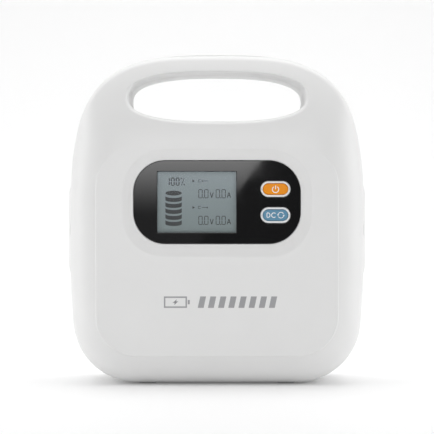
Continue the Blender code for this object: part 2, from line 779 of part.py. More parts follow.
def door(name, side):
    """A crowned door that swings on a pin behind its rear edge."""
    outline = rounded_rectangle(DOOR_FRONT + HINGE_BACK, DOOR_HEIGHT, DOOR_RADIUS, 4)
    middle_y = (HINGE_BACK - DOOR_FRONT) / 2
    inner = bay_floor + GAP
    edge = half_width - 0.1 * MM
    crown_steps = (
        (inner, 0.0),
        (edge, 0.0),
        (edge + 0.3 * DOOR_CROWN, 1.5 * MM),
        (edge + 0.75 * DOOR_CROWN, 5 * MM),
        (edge + DOOR_CROWN + 0.1 * MM, 7.8 * MM),
    )
    rings = []
    for x, inset in crown_steps:
        points = offset(outline, -inset)
        rings.append([(side * (x - hinge_x), middle_y + p.x - HINGE_BACK, p.y) for p in points])
    made = loft(name, rings, WHITE, (side * hinge_x, HINGE_BACK, DOOR_LEVEL))
    knuckle_length = DOOR_HEIGHT + 2 * DOOR_GAP - 2 * LUG_LENGTH - 2 * DOOR_GAP
    axis = [(side * hinge_x, HINGE_BACK, DOOR_LEVEL)]
    knuckle = cylinders(f"{name}_knuckle", KNUCKLE_RADIUS, knuckle_length, axis)
    catch_x = sorted((side * (bay_floor + GAP - CATCH_DEPTH), side * (bay_floor + GAP + 0.5 * MM)))
    catch_front = -DOOR_FRONT + 1.0 * MM
    catch = box(
        f"{name}_catch",
        (catch_x[0], catch_front, DOOR_LEVEL - CATCH_HEIGHT / 2),
        (catch_x[1], catch_front + CATCH_THICKNESS, DOOR_LEVEL + CATCH_HEIGHT / 2),
    )
    notches = []
    for end in (-1, 1):
        near = DOOR_LEVEL + end * knuckle_length / 2
        far = DOOR_LEVEL + end * DOOR_HEIGHT
        across = sorted((side * (hinge_x - 5 * MM), side * (hinge_x + 8 * MM)))
        notches.append(
            box(
                f"{name}_notch_{end}",
                (across[0], HINGE_BACK - 3.4 * MM, min(near, far)),
                (across[1], HINGE_BACK + 5 * MM, max(near, far)),
            )
        )
    bore = cylinders(f"{name}_bore", PIN_RADIUS + PIN_CLEARANCE, DOOR_HEIGHT, axis, sides=12)
    cut(made, *notches)
    join(made, knuckle, catch)
    cut(made, bore)
    cylinders(f"{name}_pin", PIN_RADIUS, DOOR_HEIGHT + LEDGE_MARGIN, axis, finish=STEEL, sides=12)


# ---------------------------------------------------------------- ports


def port_plate(name, side, holes):
    margin = PORT_PLATE_MARGIN
    plate = side_prism(
        name,
        rounded_rectangle(bay_front + bay_rear + 2 * margin, bay_height + 2 * margin, BAY_RADIUS, 2),
        (bay_middle_y, DOOR_LEVEL),
        plate_face - PORT_PLATE,
        plate_face,
        side,
        MATT_BLACK,
    )
    cut(plate, *holes)


def usb_port(name, side, size, y, level, tongue, stadium):
    """A metal socket with its tongue, its mouth flush with the port plate."""
    width, height, length = size
    radius = height / 2 if stadium else 0.6 * MM
    steps = 3 if stadium else 1
    face = plate_face + GAP
    outline = rounded_rectangle(width, height, radius, steps)
    made = side_prism(name, outline, (y, level), face - length, face, side, STEEL)
    mouth = side_prism(
        f"{name}_mouth",
        rounded_rectangle(width - 2 * USB_WALL, height - 2 * USB_WALL, radius - USB_WALL, steps),
        (y, level),
        face - length + 2 * MM,
        face + 1 * MM,
        side,
    )
    blade = side_prism(
        f"{name}_tongue",
        rounded_rectangle(tongue[0], tongue[1], 0.1 * MM, 1),
        (y, level),
        face - length + 1 * MM,
        face - 1 * MM,
        side,
    )
    cut(made, mouth)
    join(made, blade)
    hole = side_prism(
        f"{name}_hole",
        rounded_rectangle(width + 2 * GAP, height + 2 * GAP, radius + GAP, steps),
        (y, level),
        plate_face - PORT_PLATE - 1 * MM,
        plate_face + 1 * MM,
        side,
    )
    return hole


def jack(name, side, level, socket_radius, pin_radius):
    """A panel jack: a round socket with a pin on its axis."""
    y = bay_middle_y
    face = plate_face + 1.4 * MM
    barrel = JACK_RIM - 1.0 * MM
    rim = plate_face + GAP - face
    depth = 9.0 * MM
    profile = [
        (0.0, -1.5 * MM),
        (pin_radius, -1.9 * MM),
        (pin_radius, -depth),
        (socket_radius, -depth),
        (socket_radius, -0.3 * MM),
        (socket_radius + 0.3 * MM, 0.0),
        (JACK_RIM - 0.4 * MM, 0.0),
        (JACK_RIM, -0.4 * MM),
        (JACK_RIM, rim),
        (barrel, rim),
        (barrel, -JACK_LENGTH),
        (0.0, -JACK_LENGTH),
    ]
    turned(name, profile, (side * face, y, level), (0, side * math.pi / 2, 0), MATT_BLACK, 14)
    centre = (side * plate_face, y, level)
    return cylinders(f"{name}_hole", barrel + GAP, 3 * PORT_PLATE, [centre], "X", sides=14)


def car_socket(side, level):
    """The 12 V socket: a metal barrel with a rim, in a plastic body that carries the centre contact."""
    y = bay_middle_y
    face = plate_face + GAP + CAR_RIM_THICKNESS
    outer = CAR_BORE + CAR_BARREL_WALL
    rim_back = -CAR_RIM_THICKNESS
    turned(
        "car_socket_barrel",
        [
            (CAR_RIM, -0.4 * MM),
            (CAR_RIM, rim_back),
            (outer, rim_back),
            (outer, -CAR_BARREL),
            (CAR_BORE, -CAR_BARREL),
            (CAR_BORE, -0.5 * MM),
            (CAR_BORE + 0.5 * MM, 0.0),
            (CAR_RIM - 0.4 * MM, 0.0),
            (CAR_RIM, -0.4 * MM),
        ],
        (side * face, y, level),
        (0, side * math.pi / 2, 0),
        STEEL,
        24,
    )
    body_inner = outer + GAP
    body_outer = body_inner + CAR_BODY_WALL
    body_front = rim_back - 2 * GAP - PORT_PLATE
    floor = -CAR_BARREL - GAP
    contact_hole = CAR_CONTACT_RADIUS + GAP
    turned(
        "car_socket_body",
        [
            (body_outer, body_front),
            (body_outer, floor - 2 * MM),
            (contact_hole, floor - 2 * MM),
            (contact_hole, floor),
            (body_inner, floor),
            (body_inner, body_front),
            (body_outer, body_front),
        ],
        (side * face, y, level),
        (0, side * math.pi / 2, 0),
        MATT_BLACK,
        24,
    )
    tip = floor + 6 * MM
    turned(
        "car_socket_contact",
        [
            (0.0, tip),
            (0.6 * CAR_CONTACT_RADIUS, tip - 0.5 * MM),
            (CAR_CONTACT_RADIUS, tip - 1.8 * MM),
            (CAR_CONTACT_RADIUS, floor - 4 * MM),
            (0.0, floor - 4 * MM),
        ],
        (side * face, y, level),
        (0, side * math.pi / 2, 0),
        STEEL,
        16,
    )
    centre = (side * plate_face, y, level)
    return cylinders("car_socket_hole", outer + GAP, 3 * PORT_PLATE, [centre], "X", sides=24)


def ports():
    y = bay_middle_y
    holes = [car_socket(1, DOOR_LEVEL + CAR_LEVEL)]
    level = DOOR_LEVEL + USB_A_LEVEL
    for i, shift in enumerate((-USB_A_SPACING / 2, USB_A_SPACING / 2), 1):
        holes.append(usb_port(f"usb_a_port_{i}", 1, USB_A, y + shift, level, USB_A_TONGUE, False))
    holes.append(usb_port("usb_c_port", 1, USB_C, y, DOOR_LEVEL + USB_C_LEVEL, USB_C_TONGUE, True))
    port_plate("output_port_plate", 1, holes)
    holes = [
        jack("dc_input_jack", -1, DOOR_LEVEL + JACK_LEVELS[0], *INPUT_JACK),
        jack("dc_output_jack_1", -1, DOOR_LEVEL + JACK_LEVELS[1], *OUTPUT_JACK),
        jack("dc_output_jack_2", -1, DOOR_LEVEL + JACK_LEVELS[2], *OUTPUT_JACK),
    ]
    port_plate("input_port_plate", -1, holes)

    usb_back = plate_face + GAP - USB_A[2] - GAP
    box(
        "output_port_board",
        (usb_back - BOARD, y - 16 * MM, DOOR_LEVEL + USB_C_LEVEL - 3 * MM),
        (usb_back, y + 16 * MM, DOOR_LEVEL + USB_A_LEVEL + 4 * MM),
        BOARD_GREEN,
    )
    jack_back = plate_face + 1.4 * MM - JACK_LENGTH - GAP
    box(
        "input_port_board",
        (-jack_back, y - 8 * MM, DOOR_LEVEL + JACK_LEVELS[-1] - 7 * MM),
        (-jack_back + BOARD, y + 8 * MM, DOOR_LEVEL + JACK_LEVELS[0] + 7 * MM),
        BOARD_GREEN,
    )


# ---------------------------------------------------------------- battery pack


def cell_places():
    """X of each column and Z of each row of cells."""
    columns = [(i - (PACK_COLUMNS - 1) / 2) * CELL_PITCH for i in range(PACK_COLUMNS)]
    rows = [PACK_BOTTOM + HOLDER_RIM + (i + 0.5) * CELL_PITCH for i in range(PACK_ROWS)]
    return columns, rows


def cell_group(name, x, rows):
    """The cells of one parallel group, with the nickel strips that are welded across their ends."""
    centres = [(x, 0, z) for z in rows]
    group = cylinders(name, CELL_RADIUS, CELL_LENGTH, centres, "Y", SLEEVE, CELL_SIDES)
    strips = []
    for facing in (-1, 1):
        end = CELL_LENGTH / 2
        near, far = sorted((facing * (end - 0.2 * MM), facing * (end + STRIP_THICKNESS)))
        strips.append(
            box(
                f"{name}_strip_{facing}",
                (x - STRIP_WIDTH / 2, near, rows[0] - STRIP_WIDTH / 2),
                (x + STRIP_WIDTH / 2, far, rows[-1] + STRIP_WIDTH / 2),
            )
        )
    join(group, *strips)


def cell_holder(name, facing, columns, rows):
    """A plate with a hole for each cell."""
    width = PACK_COLUMNS * CELL_PITCH + 2 * HOLDER_RIM
    height = PACK_ROWS * CELL_PITCH + 2 * HOLDER_RIM
    outer = facing * (CELL_LENGTH / 2 - 1.5 * MM)
    inner = outer - facing * HOLDER_THICKNESS
    holder = front_prism(
        name,
        rounded_rectangle(width, height, CELL_PITCH / 2 + HOLDER_RIM - 0.2 * MM, 3),
        (0, (rows[0] + rows[-1]) / 2),
        min(inner, outer),
        max(inner, outer),
        MATT_BLACK,
    )
    near, far = sorted((inner, outer))
    floor = body_bottom + WALL + HOLDER_FOOT_LIFT
    for side in (-1, 1):
        middle = side * 2 * CELL_PITCH
        low = (middle - HOLDER_FOOT / 2, near + 1 * MM, floor)
        high = (middle + HOLDER_FOOT / 2, far - 1 * MM, PACK_BOTTOM + 0.5 * MM)
        join(holder, box(f"{name}_foot_{side}", low, high))
    centres = [(x, (inner + outer) / 2, z) for x in columns for z in rows]
    hole = CELL_RADIUS + HOLDER_CLEARANCE
    cut(holder, cylinders(f"{name}_holes", hole, 2 * HOLDER_THICKNESS, centres, "Y", sides=CELL_SIDES))


def battery_pack():
    columns, rows = cell_places()
    for i, x in enumerate(columns, 1):
        cell_group(f"cell_group_{i}", x, rows)
    cell_holder("cell_holder_front", -1, columns, rows)
    cell_holder("cell_holder_rear", 1, columns, rows)
    board_low = pack_top + 1.5 * MM
    box("pack_board", (-58 * MM, -20 * MM, board_low), (40 * MM, 14 * MM, board_low + BOARD), BOARD_GREEN)


# ---------------------------------------------------------------- power electronics


def main_board_bottom():
    return pack_top + 8 * MM


def board_spacer_places():
    width, height = MAIN_BOARD_SIZE
    low = main_board_bottom()
    edge = 5 * MM
    levels = (low + edge, low + height - edge)
    return [(side * (width / 2 - edge), z) for z in levels for side in (-1, 1)]


def power_electronics():
    width, height = MAIN_BOARD_SIZE
    low = main_board_bottom()
    far = MAIN_BOARD_Y + BOARD
    board = box("main_board", (-width / 2, MAIN_BOARD_Y, low), (width / 2, far, low + height), BOARD_GREEN)
    centres = [((14 * i - 44) * MM, MAIN_BOARD_Y - 5.5 * MM, low + height - 14 * MM) for i in range(4)]
    cans = cylinders("capacitors", 5 * MM, 12 * MM, centres, "Y", sides=12)
    chokes = []
    for left in (-46 * MM, -22 * MM):
        near = (left, MAIN_BOARD_Y - 9 * MM, low + 22 * MM)
        chokes.append(box(f"choke_{len(chokes)}", near, (left + 16 * MM, far - 1 * MM, low + 38 * MM)))
    spacer_end = half_depth_full - WALL - 2 * MM
    centres = [(x, (far + spacer_end) / 2, z) for x, z in board_spacer_places()]
    spacers = cylinders("spacers", 2.5 * MM, spacer_end - far + 1 * MM, centres, "Y", sides=6)
    join(board, cans, spacers, *chokes)

    base_y = far + 1.5 * MM
    sink_width, sink_height, base = HEAT_SINK
    sink_low = low + (height - sink_height) / 2
    sink_high = sink_low + sink_height
    half = sink_width / 2
    sink = box("heat_sink", (-half, base_y, sink_low), (half, base_y + base, sink_high), ALUMINIUM)
    pitch = (sink_width - 2 * FIN_THICKNESS) / (FIN_COUNT - 1)
    fins = []
    for i in range(FIN_COUNT):
        left = -half + FIN_THICKNESS / 2 + i * pitch
        near = (left, base_y + base - 0.5 * MM, sink_low + 1 * MM)
        far_corner = (left + FIN_THICKNESS, base_y + base + FIN_HEIGHT, sink_high - 1 * MM)
        fins.append(box(f"fin_{i}", near, far_corner))
    join(sink, *fins)


def lead(name, x, finish):
    """A short lead from the pack board up to the main board, on one smooth bend."""
    start = Vector((x, 4 * MM, pack_top + 1.5 * MM + BOARD + GAP))
    end = Vector((x, MAIN_BOARD_Y - GAP, main_board_bottom() + 8 * MM))
    corner = Vector((x, start.y, end.z))
    data = bpy.data.curves.new(name, "CURVE")
    data.dimensions = "3D"
    data.bevel_depth = LEAD_RADIUS
    data.bevel_resolution = 2
    data.use_fill_caps = True
    spline = data.splines.new("POLY")
    steps = 8
    spline.points.add(steps)
    for i in range(steps + 1):
        t = i / steps
        point = start * (1 - t) ** 2 + corner * 2 * t * (1 - t) + end * t * t
        spline.points[i].co = (*point, 1)
    obj = bpy.data.objects.new(name, data)
    data.materials.append(material(finish))
    PARTS.objects.link(obj)


def ribbon():
    """The flat cable from the control board back to the main board, sagging between them."""
    start = Vector((control_board_front() + BOARD + GAP, LENS_LEVEL + 18 * MM))
    end = Vector((MAIN_BOARD_Y - GAP, LENS_LEVEL + 18 * MM))
    steps = 10
    middle_line = []
    for i in range(steps + 1):
        t = i / steps
        sag = 5 * MM * math.sin(math.pi * t) ** 2
        middle_line.append(start.lerp(end, t) - Vector((0, sag)))
    left, right = 12 * MM, 12 * MM + RIBBON_WIDTH
    half = RIBBON_THICKNESS / 2
    section = ((left, -half), (right, -half), (right, half), (left, half))
    rings = [[(x, p.x, p.y + z) for x, z in section] for p in middle_line]
    loft("display_ribbon", rings, RING_WHITE)


# ---------------------------------------------------------------- feet and fixings


def feet():
    number = 1
    for x in (-FOOT_X, FOOT_X):
        for y in (-FOOT_Y, FOOT_Y):
            turned(
                f"foot_{number}",
                [
                    (0.0, FOOT_HEIGHT),
                    (FOOT_RADIUS, FOOT_HEIGHT),
                    (FOOT_RADIUS, 0.4 * MM),
                    (FOOT_RADIUS - 0.5 * MM, 0.0),
                    (0.0, 0.0),
                ],
                (x, y, 0),
                (0, 0, 0),
                RUBBER,
                16,
            )
            number += 1


def case_screws():
    head = SCREW_HEAD_HEIGHT
    seat = GAP / 2 + WELL_FLOOR + GAP
    socket = 1.2 * MM
    profile = [
        (0.0, head - socket),
        (socket, head - socket),
        (socket, head),
        (SCREW_HEAD_RADIUS - 0.4 * MM, head),
        (SCREW_HEAD_RADIUS, head - 0.5 * MM),
        (SCREW_HEAD_RADIUS, 0.0),
        (SCREW_RADIUS, 0.0),
        (SCREW_RADIUS, -SCREW_LENGTH + 0.8 * MM),
        (SCREW_RADIUS - 0.6 * MM, -SCREW_LENGTH),
        (0.0, -SCREW_LENGTH),
    ]
    for i, (x, z) in enumerate(screw_places(), 1):
        turned(f"case_screw_{i}", profile, (x, seat, z), (-math.pi / 2, 0, 0), STEEL, 10)


clear_scene()
PARTS = new_collection("power_station")
CUTTERS = new_collection("cutters")
shells()
control_panel()
display()
door("output_door", 1)
door("input_door", -1)
ports()
battery_pack()
power_electronics()
lead("pack_lead_positive", -50 * MM, RED)
lead("pack_lead_negative", -42 * MM, BLACK_LEAD)
ribbon()
feet()
case_screws()
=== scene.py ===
"""Visual model of a portable DC power station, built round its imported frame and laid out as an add-on.

Each operator makes one piece or one group of like pieces, in metres, where the frame has it.
"""

import functools
import math

import bmesh
import bpy
import numpy as np
from bpy.props import FloatProperty, FloatVectorProperty, PointerProperty
from mathutils import Matrix, Vector
from mathutils.geometry import delaunay_2d_cdt


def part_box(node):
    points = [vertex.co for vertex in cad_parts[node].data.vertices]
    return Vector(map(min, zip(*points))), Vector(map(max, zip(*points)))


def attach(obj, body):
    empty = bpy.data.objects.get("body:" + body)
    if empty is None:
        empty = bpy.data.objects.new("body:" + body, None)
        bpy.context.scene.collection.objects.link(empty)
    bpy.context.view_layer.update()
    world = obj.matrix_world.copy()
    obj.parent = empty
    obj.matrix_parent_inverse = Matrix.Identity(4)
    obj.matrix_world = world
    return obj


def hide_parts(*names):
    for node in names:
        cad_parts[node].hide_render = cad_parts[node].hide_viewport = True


bl_info = {
    "name": "Power station",
    "version": (1, 0, 0),
    "blender": (4, 5, 0),
    "location": "3D View > Sidebar > Power station",
    "description": "Builds a portable power station with a handle, a display and hinged port doors",
    "category": "Add Mesh",
}

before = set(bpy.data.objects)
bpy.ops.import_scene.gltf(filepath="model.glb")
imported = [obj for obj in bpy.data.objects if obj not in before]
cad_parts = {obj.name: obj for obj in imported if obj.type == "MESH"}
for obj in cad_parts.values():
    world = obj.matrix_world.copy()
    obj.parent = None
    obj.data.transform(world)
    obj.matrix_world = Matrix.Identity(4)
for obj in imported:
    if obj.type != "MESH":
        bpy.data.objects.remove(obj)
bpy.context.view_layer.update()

MM = 0.001

# The case, as the frame has it
HALF_WIDTH = 97.6 * MM
HEIGHT = 218.0 * MM
HALF_DEPTH = 44.0 * MM
BODY_BOTTOM = 0.8 * MM
WALL = 2.5 * MM
GAP = 0.3 * MM
WIDEST = 95.0 * MM
SIDE_RADIUS = 670.0 * MM
CORNER_RADIUS = 42.0 * MM
TOP_EXPONENT = 3.4
DRAFT = 0.35 * MM
STRAIGHT_WALL = 24.0 * MM
EDGE_TURN = 1.685
PLATE_INSET = 19.0 * MM
PLATE_TOP_DROP = 61.5 * MM
PLATE_RADIUS = 26.0 * MM
TOP_LEAN = 22.8 * MM
LEAN_POWER = 1.7
HANDLE_EDGE = 4.0 * MM
SIDE_BAND = 22.0 * MM
HANDLE_BAND = 45.0 * MM
OPENING = (116.8 * MM, 33.6 * MM)
OPENING_EXPONENT = 2.6
OPENING_LEVEL = 189.4 * MM

# The control panel
LENS = (108.8 * MM, 54.2 * MM)
LENS_RADIUS = 20.8 * MM
LENS_LEVEL = 119.9 * MM
LENS_FRONT = -41.0 * MM
LENS_BACK = -39.0 * MM
SEAT_FRONT = -38.7 * MM
SEAT_BACK = -36.2 * MM
SCREEN = (51.5 * MM, 39.9 * MM)
SCREEN_X = -13.2 * MM
SCREEN_MARGIN = 2.2 * MM
LCD_THICKNESS = 2.0 * MM
CAP = (16.2 * MM, 7.1 * MM)
CAP_X = 38.1 * MM
CAP_LEVELS = (LENS_LEVEL + 8.5 * MM, LENS_LEVEL - 8.5 * MM)
CAP_FRONT = LENS_FRONT - 0.9 * MM
CAP_CLEARANCE = 0.2 * MM
RING_WIDTH = 1.3 * MM
RING_FRONT = LENS_FRONT - 0.3 * MM

# The side bays
DOOR_LEVEL = 102.0 * MM
DOOR_HEIGHT = 60.0 * MM
DOOR_FRONT = 22.5 * MM
DOOR_RADIUS = 8.0 * MM
DOOR_GAP = 0.5 * MM
DOOR_CROWN = 1.4 * MM
HINGE_X = 95.3 * MM
HINGE_Y = 20.0 * MM
HINGE_REAR = 3.8 * MM
KNUCKLE = 2.3 * MM
LUG = 4.3 * MM
BAY_FLOOR = 94.9 * MM
LEDGE_INNER = 91.6 * MM
PLATE_FACE = 91.3 * MM
PORT_PLATE = 2.0 * MM
BAY = (34.0 * MM, 48.0 * MM)
BAY_Y = -1.0 * MM
CAR_LEVEL = DOOR_LEVEL + 9.5 * MM
USB_A_LEVEL = DOOR_LEVEL - 9.6 * MM
USB_A_SPACING = 16.4 * MM
USB_C_LEVEL = DOOR_LEVEL - 18.6 * MM
JACK_LEVELS = (DOOR_LEVEL + 14.0 * MM, DOOR_LEVEL, DOOR_LEVEL - 14.0 * MM)
CAR_HOLE = 12.0 * MM
JACK_HOLE = 4.9 * MM
LEDGE_MARGIN = 4.5 * MM
LUG_DEPTH = 2.2 * MM
PIN_HOLE = 0.95 * MM
PIN_REACH = 35.5 * MM
CATCH_SLOT = (-22.2 * MM, -19.4 * MM, 9.2 * MM)  # front, rear and height
NAIL_NOTCH = (96.35 * MM, 7.0 * MM)  # floor and radius of the notch for a fingernail
OUTSIDE = 105.0 * MM  # a place well beyond the case's side
DEEP = 60.0 * MM  # a place well beyond its front or back

# Screws and feet
SCREWS = [(side * x, z) for x, z in ((79.0 * MM, 32.0 * MM), (69.8 * MM, 187.0 * MM)) for side in (-1, 1)]
SCREW_SEAT = 2.85 * MM
SCREW_POST = 5.2 * MM
SCREW_BORE = 1.7 * MM
SCREW_WELL = 3.4 * MM
FEET = [(x, y) for x in (-46 * MM, 46 * MM) for y in (-16 * MM, 16 * MM)]
FOOT_POCKET = 6.3 * MM
SEAT_MARGIN = 9.5 * MM

# Where the rows of the case's mesh lie, as shares of the way from the silhouette to the plate
RIM_SHARES = (0.0, 0.0012, 0.004, 0.009, 0.016, 0.025, 0.037, 0.052, 0.07, 0.09, 0.11, 0.13)
BAND_SHARES = (0.16, 0.19, 0.235, 0.28, 0.33, 0.385, 0.44, 0.5, 0.56, 0.62, 0.68, 0.74, 0.8, 0.86, 0.92, 0.97)
FLAT_MARGIN = 0.05 * MM  # row beside a rounded edge that keeps the flat face's shading flat


# ------------------------------------------------------------------ settings


def size_property(name, description, default, low=0.0, high=0.1):
    return FloatProperty(
        name=name, description=description, default=default, min=low, max=high, unit="LENGTH", precision=5
    )


def colour_property(name, description, default):
    return FloatVectorProperty(
        name=name, description=description, default=default, min=0.0, max=1.0, size=3, subtype="COLOR"
    )


class CaseSettings(bpy.types.PropertyGroup):
    """Sizes and colour of the moulded case."""

    colour: colour_property("Case colour", "Colour of the moulded shells and doors", (0.775, 0.775, 0.772))
    seam_round: size_property("Seam edge", "Rounding of each shell's edge at the seam", 0.3 * MM)
    plate_step: size_property("Plate step", "Height of the raised front plate's edge", 0.45 * MM)
    lower_lip: size_property("Lower lip", "Rounding of the handle opening's lower edge", 2.8 * MM)
    upper_lip: size_property("Upper lip", "Rounding of the handle opening's upper edge", 1.3 * MM)
    recess_foot: size_property("Recess depth", "Depth of the recess at the foot of its slope", 3.3 * MM)
    recess_slope: size_property("Recess slope", "Width of the slope round the panel", 7.1 * MM)
    recess_sill: size_property("Recess sill", "Extra width of the slope below the panel", 1.9 * MM)


class PanelSettings(bpy.types.PropertyGroup):
    """Colours of the control panel."""

    lens: colour_property("Lens", "Colour printed behind the lens", (0.006, 0.006, 0.0065))
    # painted light: the display is paler at its top and darker at its foot
    screen_top_lit: colour_property("Screen, top", "Colour of the display at its top", (0.35, 0.40, 0.43))
    screen_foot_shaded: colour_property("Screen, foot", "Colour of the display at its foot", (0.27, 0.32, 0.325))
    ink: colour_property("Segments", "Colour of the display's dark segments", (0.05, 0.052, 0.056))
    faint_ink: colour_property("Thin segments", "Colour of the display's digits", (0.04, 0.042, 0.045))
    mark: colour_property("Case print", "Colour of the mark printed on the case", (0.33, 0.33, 0.34))


class ButtonSettings(bpy.types.PropertyGroup):
    """Sizes and colours of the two push buttons."""

    power: colour_property("Power button", "Colour of the power button", (0.83, 0.28, 0.008))
    outlet: colour_property("Outlet button", "Colour of the DC outlet button", (0.115, 0.27, 0.40))
    rim: colour_property("Rims", "Colour of the translucent rims", (0.86, 0.87, 0.88))
    edge: size_property("Cap edge", "Rounding of a cap's edge", 0.7 * MM)


class StageSettings(bpy.types.PropertyGroup):
    """Camera and floor."""

    distance: size_property("Distance", "Camera's distance from the middle of the case", 1.05, 0.3, 5.0)
    level: size_property("Level", "Camera's height above the floor", 0.1102, 0.0, 2.0)
    lens: FloatProperty(name="Lens", description="Focal length in mm", default=128.5, min=20, max=300)
    floor: colour_property("Floor", "Colour of the floor and backdrop", (0.9, 0.9, 0.9))


# ------------------------------------------------------------------ outlines


def resample(loop, count):
    """Points at even distances along a closed loop, from its first point."""
    closed = np.vstack([loop, loop[:1]])
    lengths = np.r_[0, np.cumsum(np.linalg.norm(np.diff(closed, axis=0), axis=1))]
    at = np.linspace(0, lengths[-1], count, endpoint=False)
    return np.c_[np.interp(at, lengths, closed[:, 0]), np.interp(at, lengths, closed[:, 1])]


def offset(loop, distance):
    """A closed anticlockwise loop moved outwards, by one distance or by one for each point."""
    ahead = np.roll(loop, -1, axis=0) - loop
    ahead /= np.linalg.norm(ahead, axis=1)[:, None]
    behind = np.roll(ahead, 1, axis=0)
    normal = np.c_[ahead[:, 1] + behind[:, 1], -ahead[:, 0] - behind[:, 0]]
    normal /= np.linalg.norm(normal, axis=1)[:, None]
    across = (normal * np.c_[ahead[:, 1], -ahead[:, 0]]).sum(1)
    return loop + normal * (np.asarray(distance) / across)[:, None]


def rounded_rectangle(width, height, radius, steps=12):
    """Points of a rounded rectangle round its middle, anticlockwise."""
    radius = min(radius, width / 2 - 1e-6, height / 2 - 1e-6)
    points = []
    for corner, (sx, sy) in enumerate(((1, -1), (1, 1), (-1, 1), (-1, -1))):
        for step in range(steps + 1):
            angle = math.pi / 2 * (corner - 1 + step / steps)
            x = sx * (width / 2 - radius) + radius * math.cos(angle)
            points.append((x, sy * (height / 2 - radius) + radius * math.sin(angle)))
    return np.array(points)


def moved(loop, x, z):
    return loop + np.array([x, z])


def corner_arc():
    """The bottom corner's arc and the side's arc.

    Gives the corner's centre X and Z, the side's centre X, and the angle where the two meet.
    """
    side_x = HALF_WIDTH - SIDE_RADIUS
    corner_z = BODY_BOTTOM + CORNER_RADIUS
    reach = SIDE_RADIUS - CORNER_RADIUS
    corner_x = side_x + math.sqrt(reach**2 - (WIDEST - corner_z) ** 2)
    return corner_x, corner_z, side_x, math.atan2(WIDEST - corner_z, corner_x - side_x)


def silhouette():
    """The body's outline in X and Z, densely, anticlockwise from the middle of its bottom."""
    corner_x, corner_z, side_x, lean = corner_arc()
    angle = np.linspace(-math.pi / 2, -lean, 90)
    corner = np.c_[corner_x + CORNER_RADIUS * np.cos(angle), corner_z + CORNER_RADIUS * np.sin(angle)]
    angle = np.linspace(-lean, 0, 60)[1:]
    side = np.c_[side_x + SIDE_RADIUS * np.cos(angle), WIDEST + SIDE_RADIUS * np.sin(angle)]
    angle = np.linspace(0, math.pi / 2, 1500)[1:-1]
    power = 2 / TOP_EXPONENT
    top = np.c_[HALF_WIDTH * np.cos(angle) ** power, WIDEST + (HEIGHT - WIDEST) * np.sin(angle) ** power]
    right = np.vstack([[(0, BODY_BOTTOM)], corner, side, top, [(0, HEIGHT)]])
    return np.vstack([right, right[-2:0:-1] * [-1, 1]])


def body_width(z):
    """Half of the body's width at each level, 0 above and below it."""
    corner_x, corner_z, side_x, lean = corner_arc()
    rise = np.clip((z - WIDEST) / (HEIGHT - WIDEST), 0, 1)
    top = HALF_WIDTH * (1 - rise**TOP_EXPONENT) ** (1 / TOP_EXPONENT)
    side = side_x + np.sqrt(SIDE_RADIUS**2 - (z - WIDEST) ** 2)
    corner = corner_x + np.sqrt(np.clip(CORNER_RADIUS**2 - (z - corner_z) ** 2, 0, None))
    tangent = WIDEST - SIDE_RADIUS * math.sin(lean)
    width = np.where(z >= WIDEST, top, np.where(z > tangent, side, corner))
    return np.where((z < BODY_BOTTOM) | (z > HEIGHT), 0, width)


def from_plate(points):
    """For each point, the plate's nearest edge point, the way out of it, and the distance beyond it."""
    reach = HALF_WIDTH - PLATE_INSET - PLATE_RADIUS
    low = BODY_BOTTOM + PLATE_INSET + PLATE_RADIUS
    core = np.c_[
        np.clip(points[:, 0], -reach, reach),
        np.clip(points[:, 1], low, HEIGHT - PLATE_TOP_DROP - PLATE_RADIUS),
    ]
    away = points - core
    distance = np.linalg.norm(away, axis=1)
    way = away / np.maximum(distance, 1e-9)[:, None]
    return core + way * PLATE_RADIUS, way, distance - PLATE_RADIUS


def opening_outline(count):
    angle = np.linspace(0, math.tau, 4000, endpoint=False)
    power = 2 / OPENING_EXPONENT
    c, s = np.cos(angle), np.sin(angle)
    x = np.sign(c) * np.abs(c) ** power * OPENING[0] / 2
    z = np.sign(s) * np.abs(s) ** power * OPENING[1] / 2
    return moved(resample(np.c_[x, z], count), 0, OPENING_LEVEL)


# ------------------------------------------------------------------ surface of the body


def quarter_turn(share):
    return np.sqrt(np.clip(1 - (1 - np.clip(share, 0, 1)) ** 2, 0, None))


def ease(value, low, high):
    share = np.clip((value - low) / (high - low), 0, 1)
    return share * share * (3 - 2 * share)


def band_height(inset, beyond, z):
    """How far the surface stands from the seam, between the silhouette and the plate."""
    band = inset + beyond
    turn = (HALF_DEPTH - STRAIGHT_WALL) / quarter_turn(1 / EDGE_TURN)
    side = STRAIGHT_WALL + turn * quarter_turn(inset / band / EDGE_TURN)
    lean = TOP_LEAN * (beyond / PLATE_TOP_DROP) ** LEAN_POWER
    top = HALF_DEPTH - lean - HANDLE_EDGE * (1 - quarter_turn(inset / HANDLE_EDGE))
    blend = ease(band, SIDE_BAND, HANDLE_BAND)
    case = bpy.context.scene.station_case
    step = case.plate_step * ease(beyond, 0, 0.35 * MM) * (1 - ease(beyond, 2 * MM, 14 * MM))
    return side + (top - side) * blend - step * (1 - ease(z, 128 * MM, 152 * MM))


def body_height(points):
    """How far the body's surface stands from the seam at any point inside its silhouette."""
    edge, way, beyond = from_plate(points)
    low, high = np.zeros(len(points)), np.full(len(points), 0.14)
    for _ in range(36):
        middle = (low + high) / 2
        probe = edge + way * middle[:, None]
        inside = np.abs(probe[:, 0]) < body_width(probe[:, 1])
        low, high = np.where(inside, middle, low), np.where(inside, high, middle)
    band = low - DRAFT
    outside = np.clip(beyond, 1e-9, band)
    return np.where(beyond > 0, band_height(band - outside, outside, points[:, 1]), HALF_DEPTH)


def lens_distance(points):
    """Distance of each point outside the lens's outline, and how far it lies upwards of the lens."""
    half = np.array(LENS) / 2 - LENS_RADIUS
    local = points - [0, LENS_LEVEL]
    out = local - np.clip(local, -half, half)
    distance = np.linalg.norm(out, axis=1)
    return distance - LENS_RADIUS, out[:, 1] / np.maximum(distance, 1e-9)


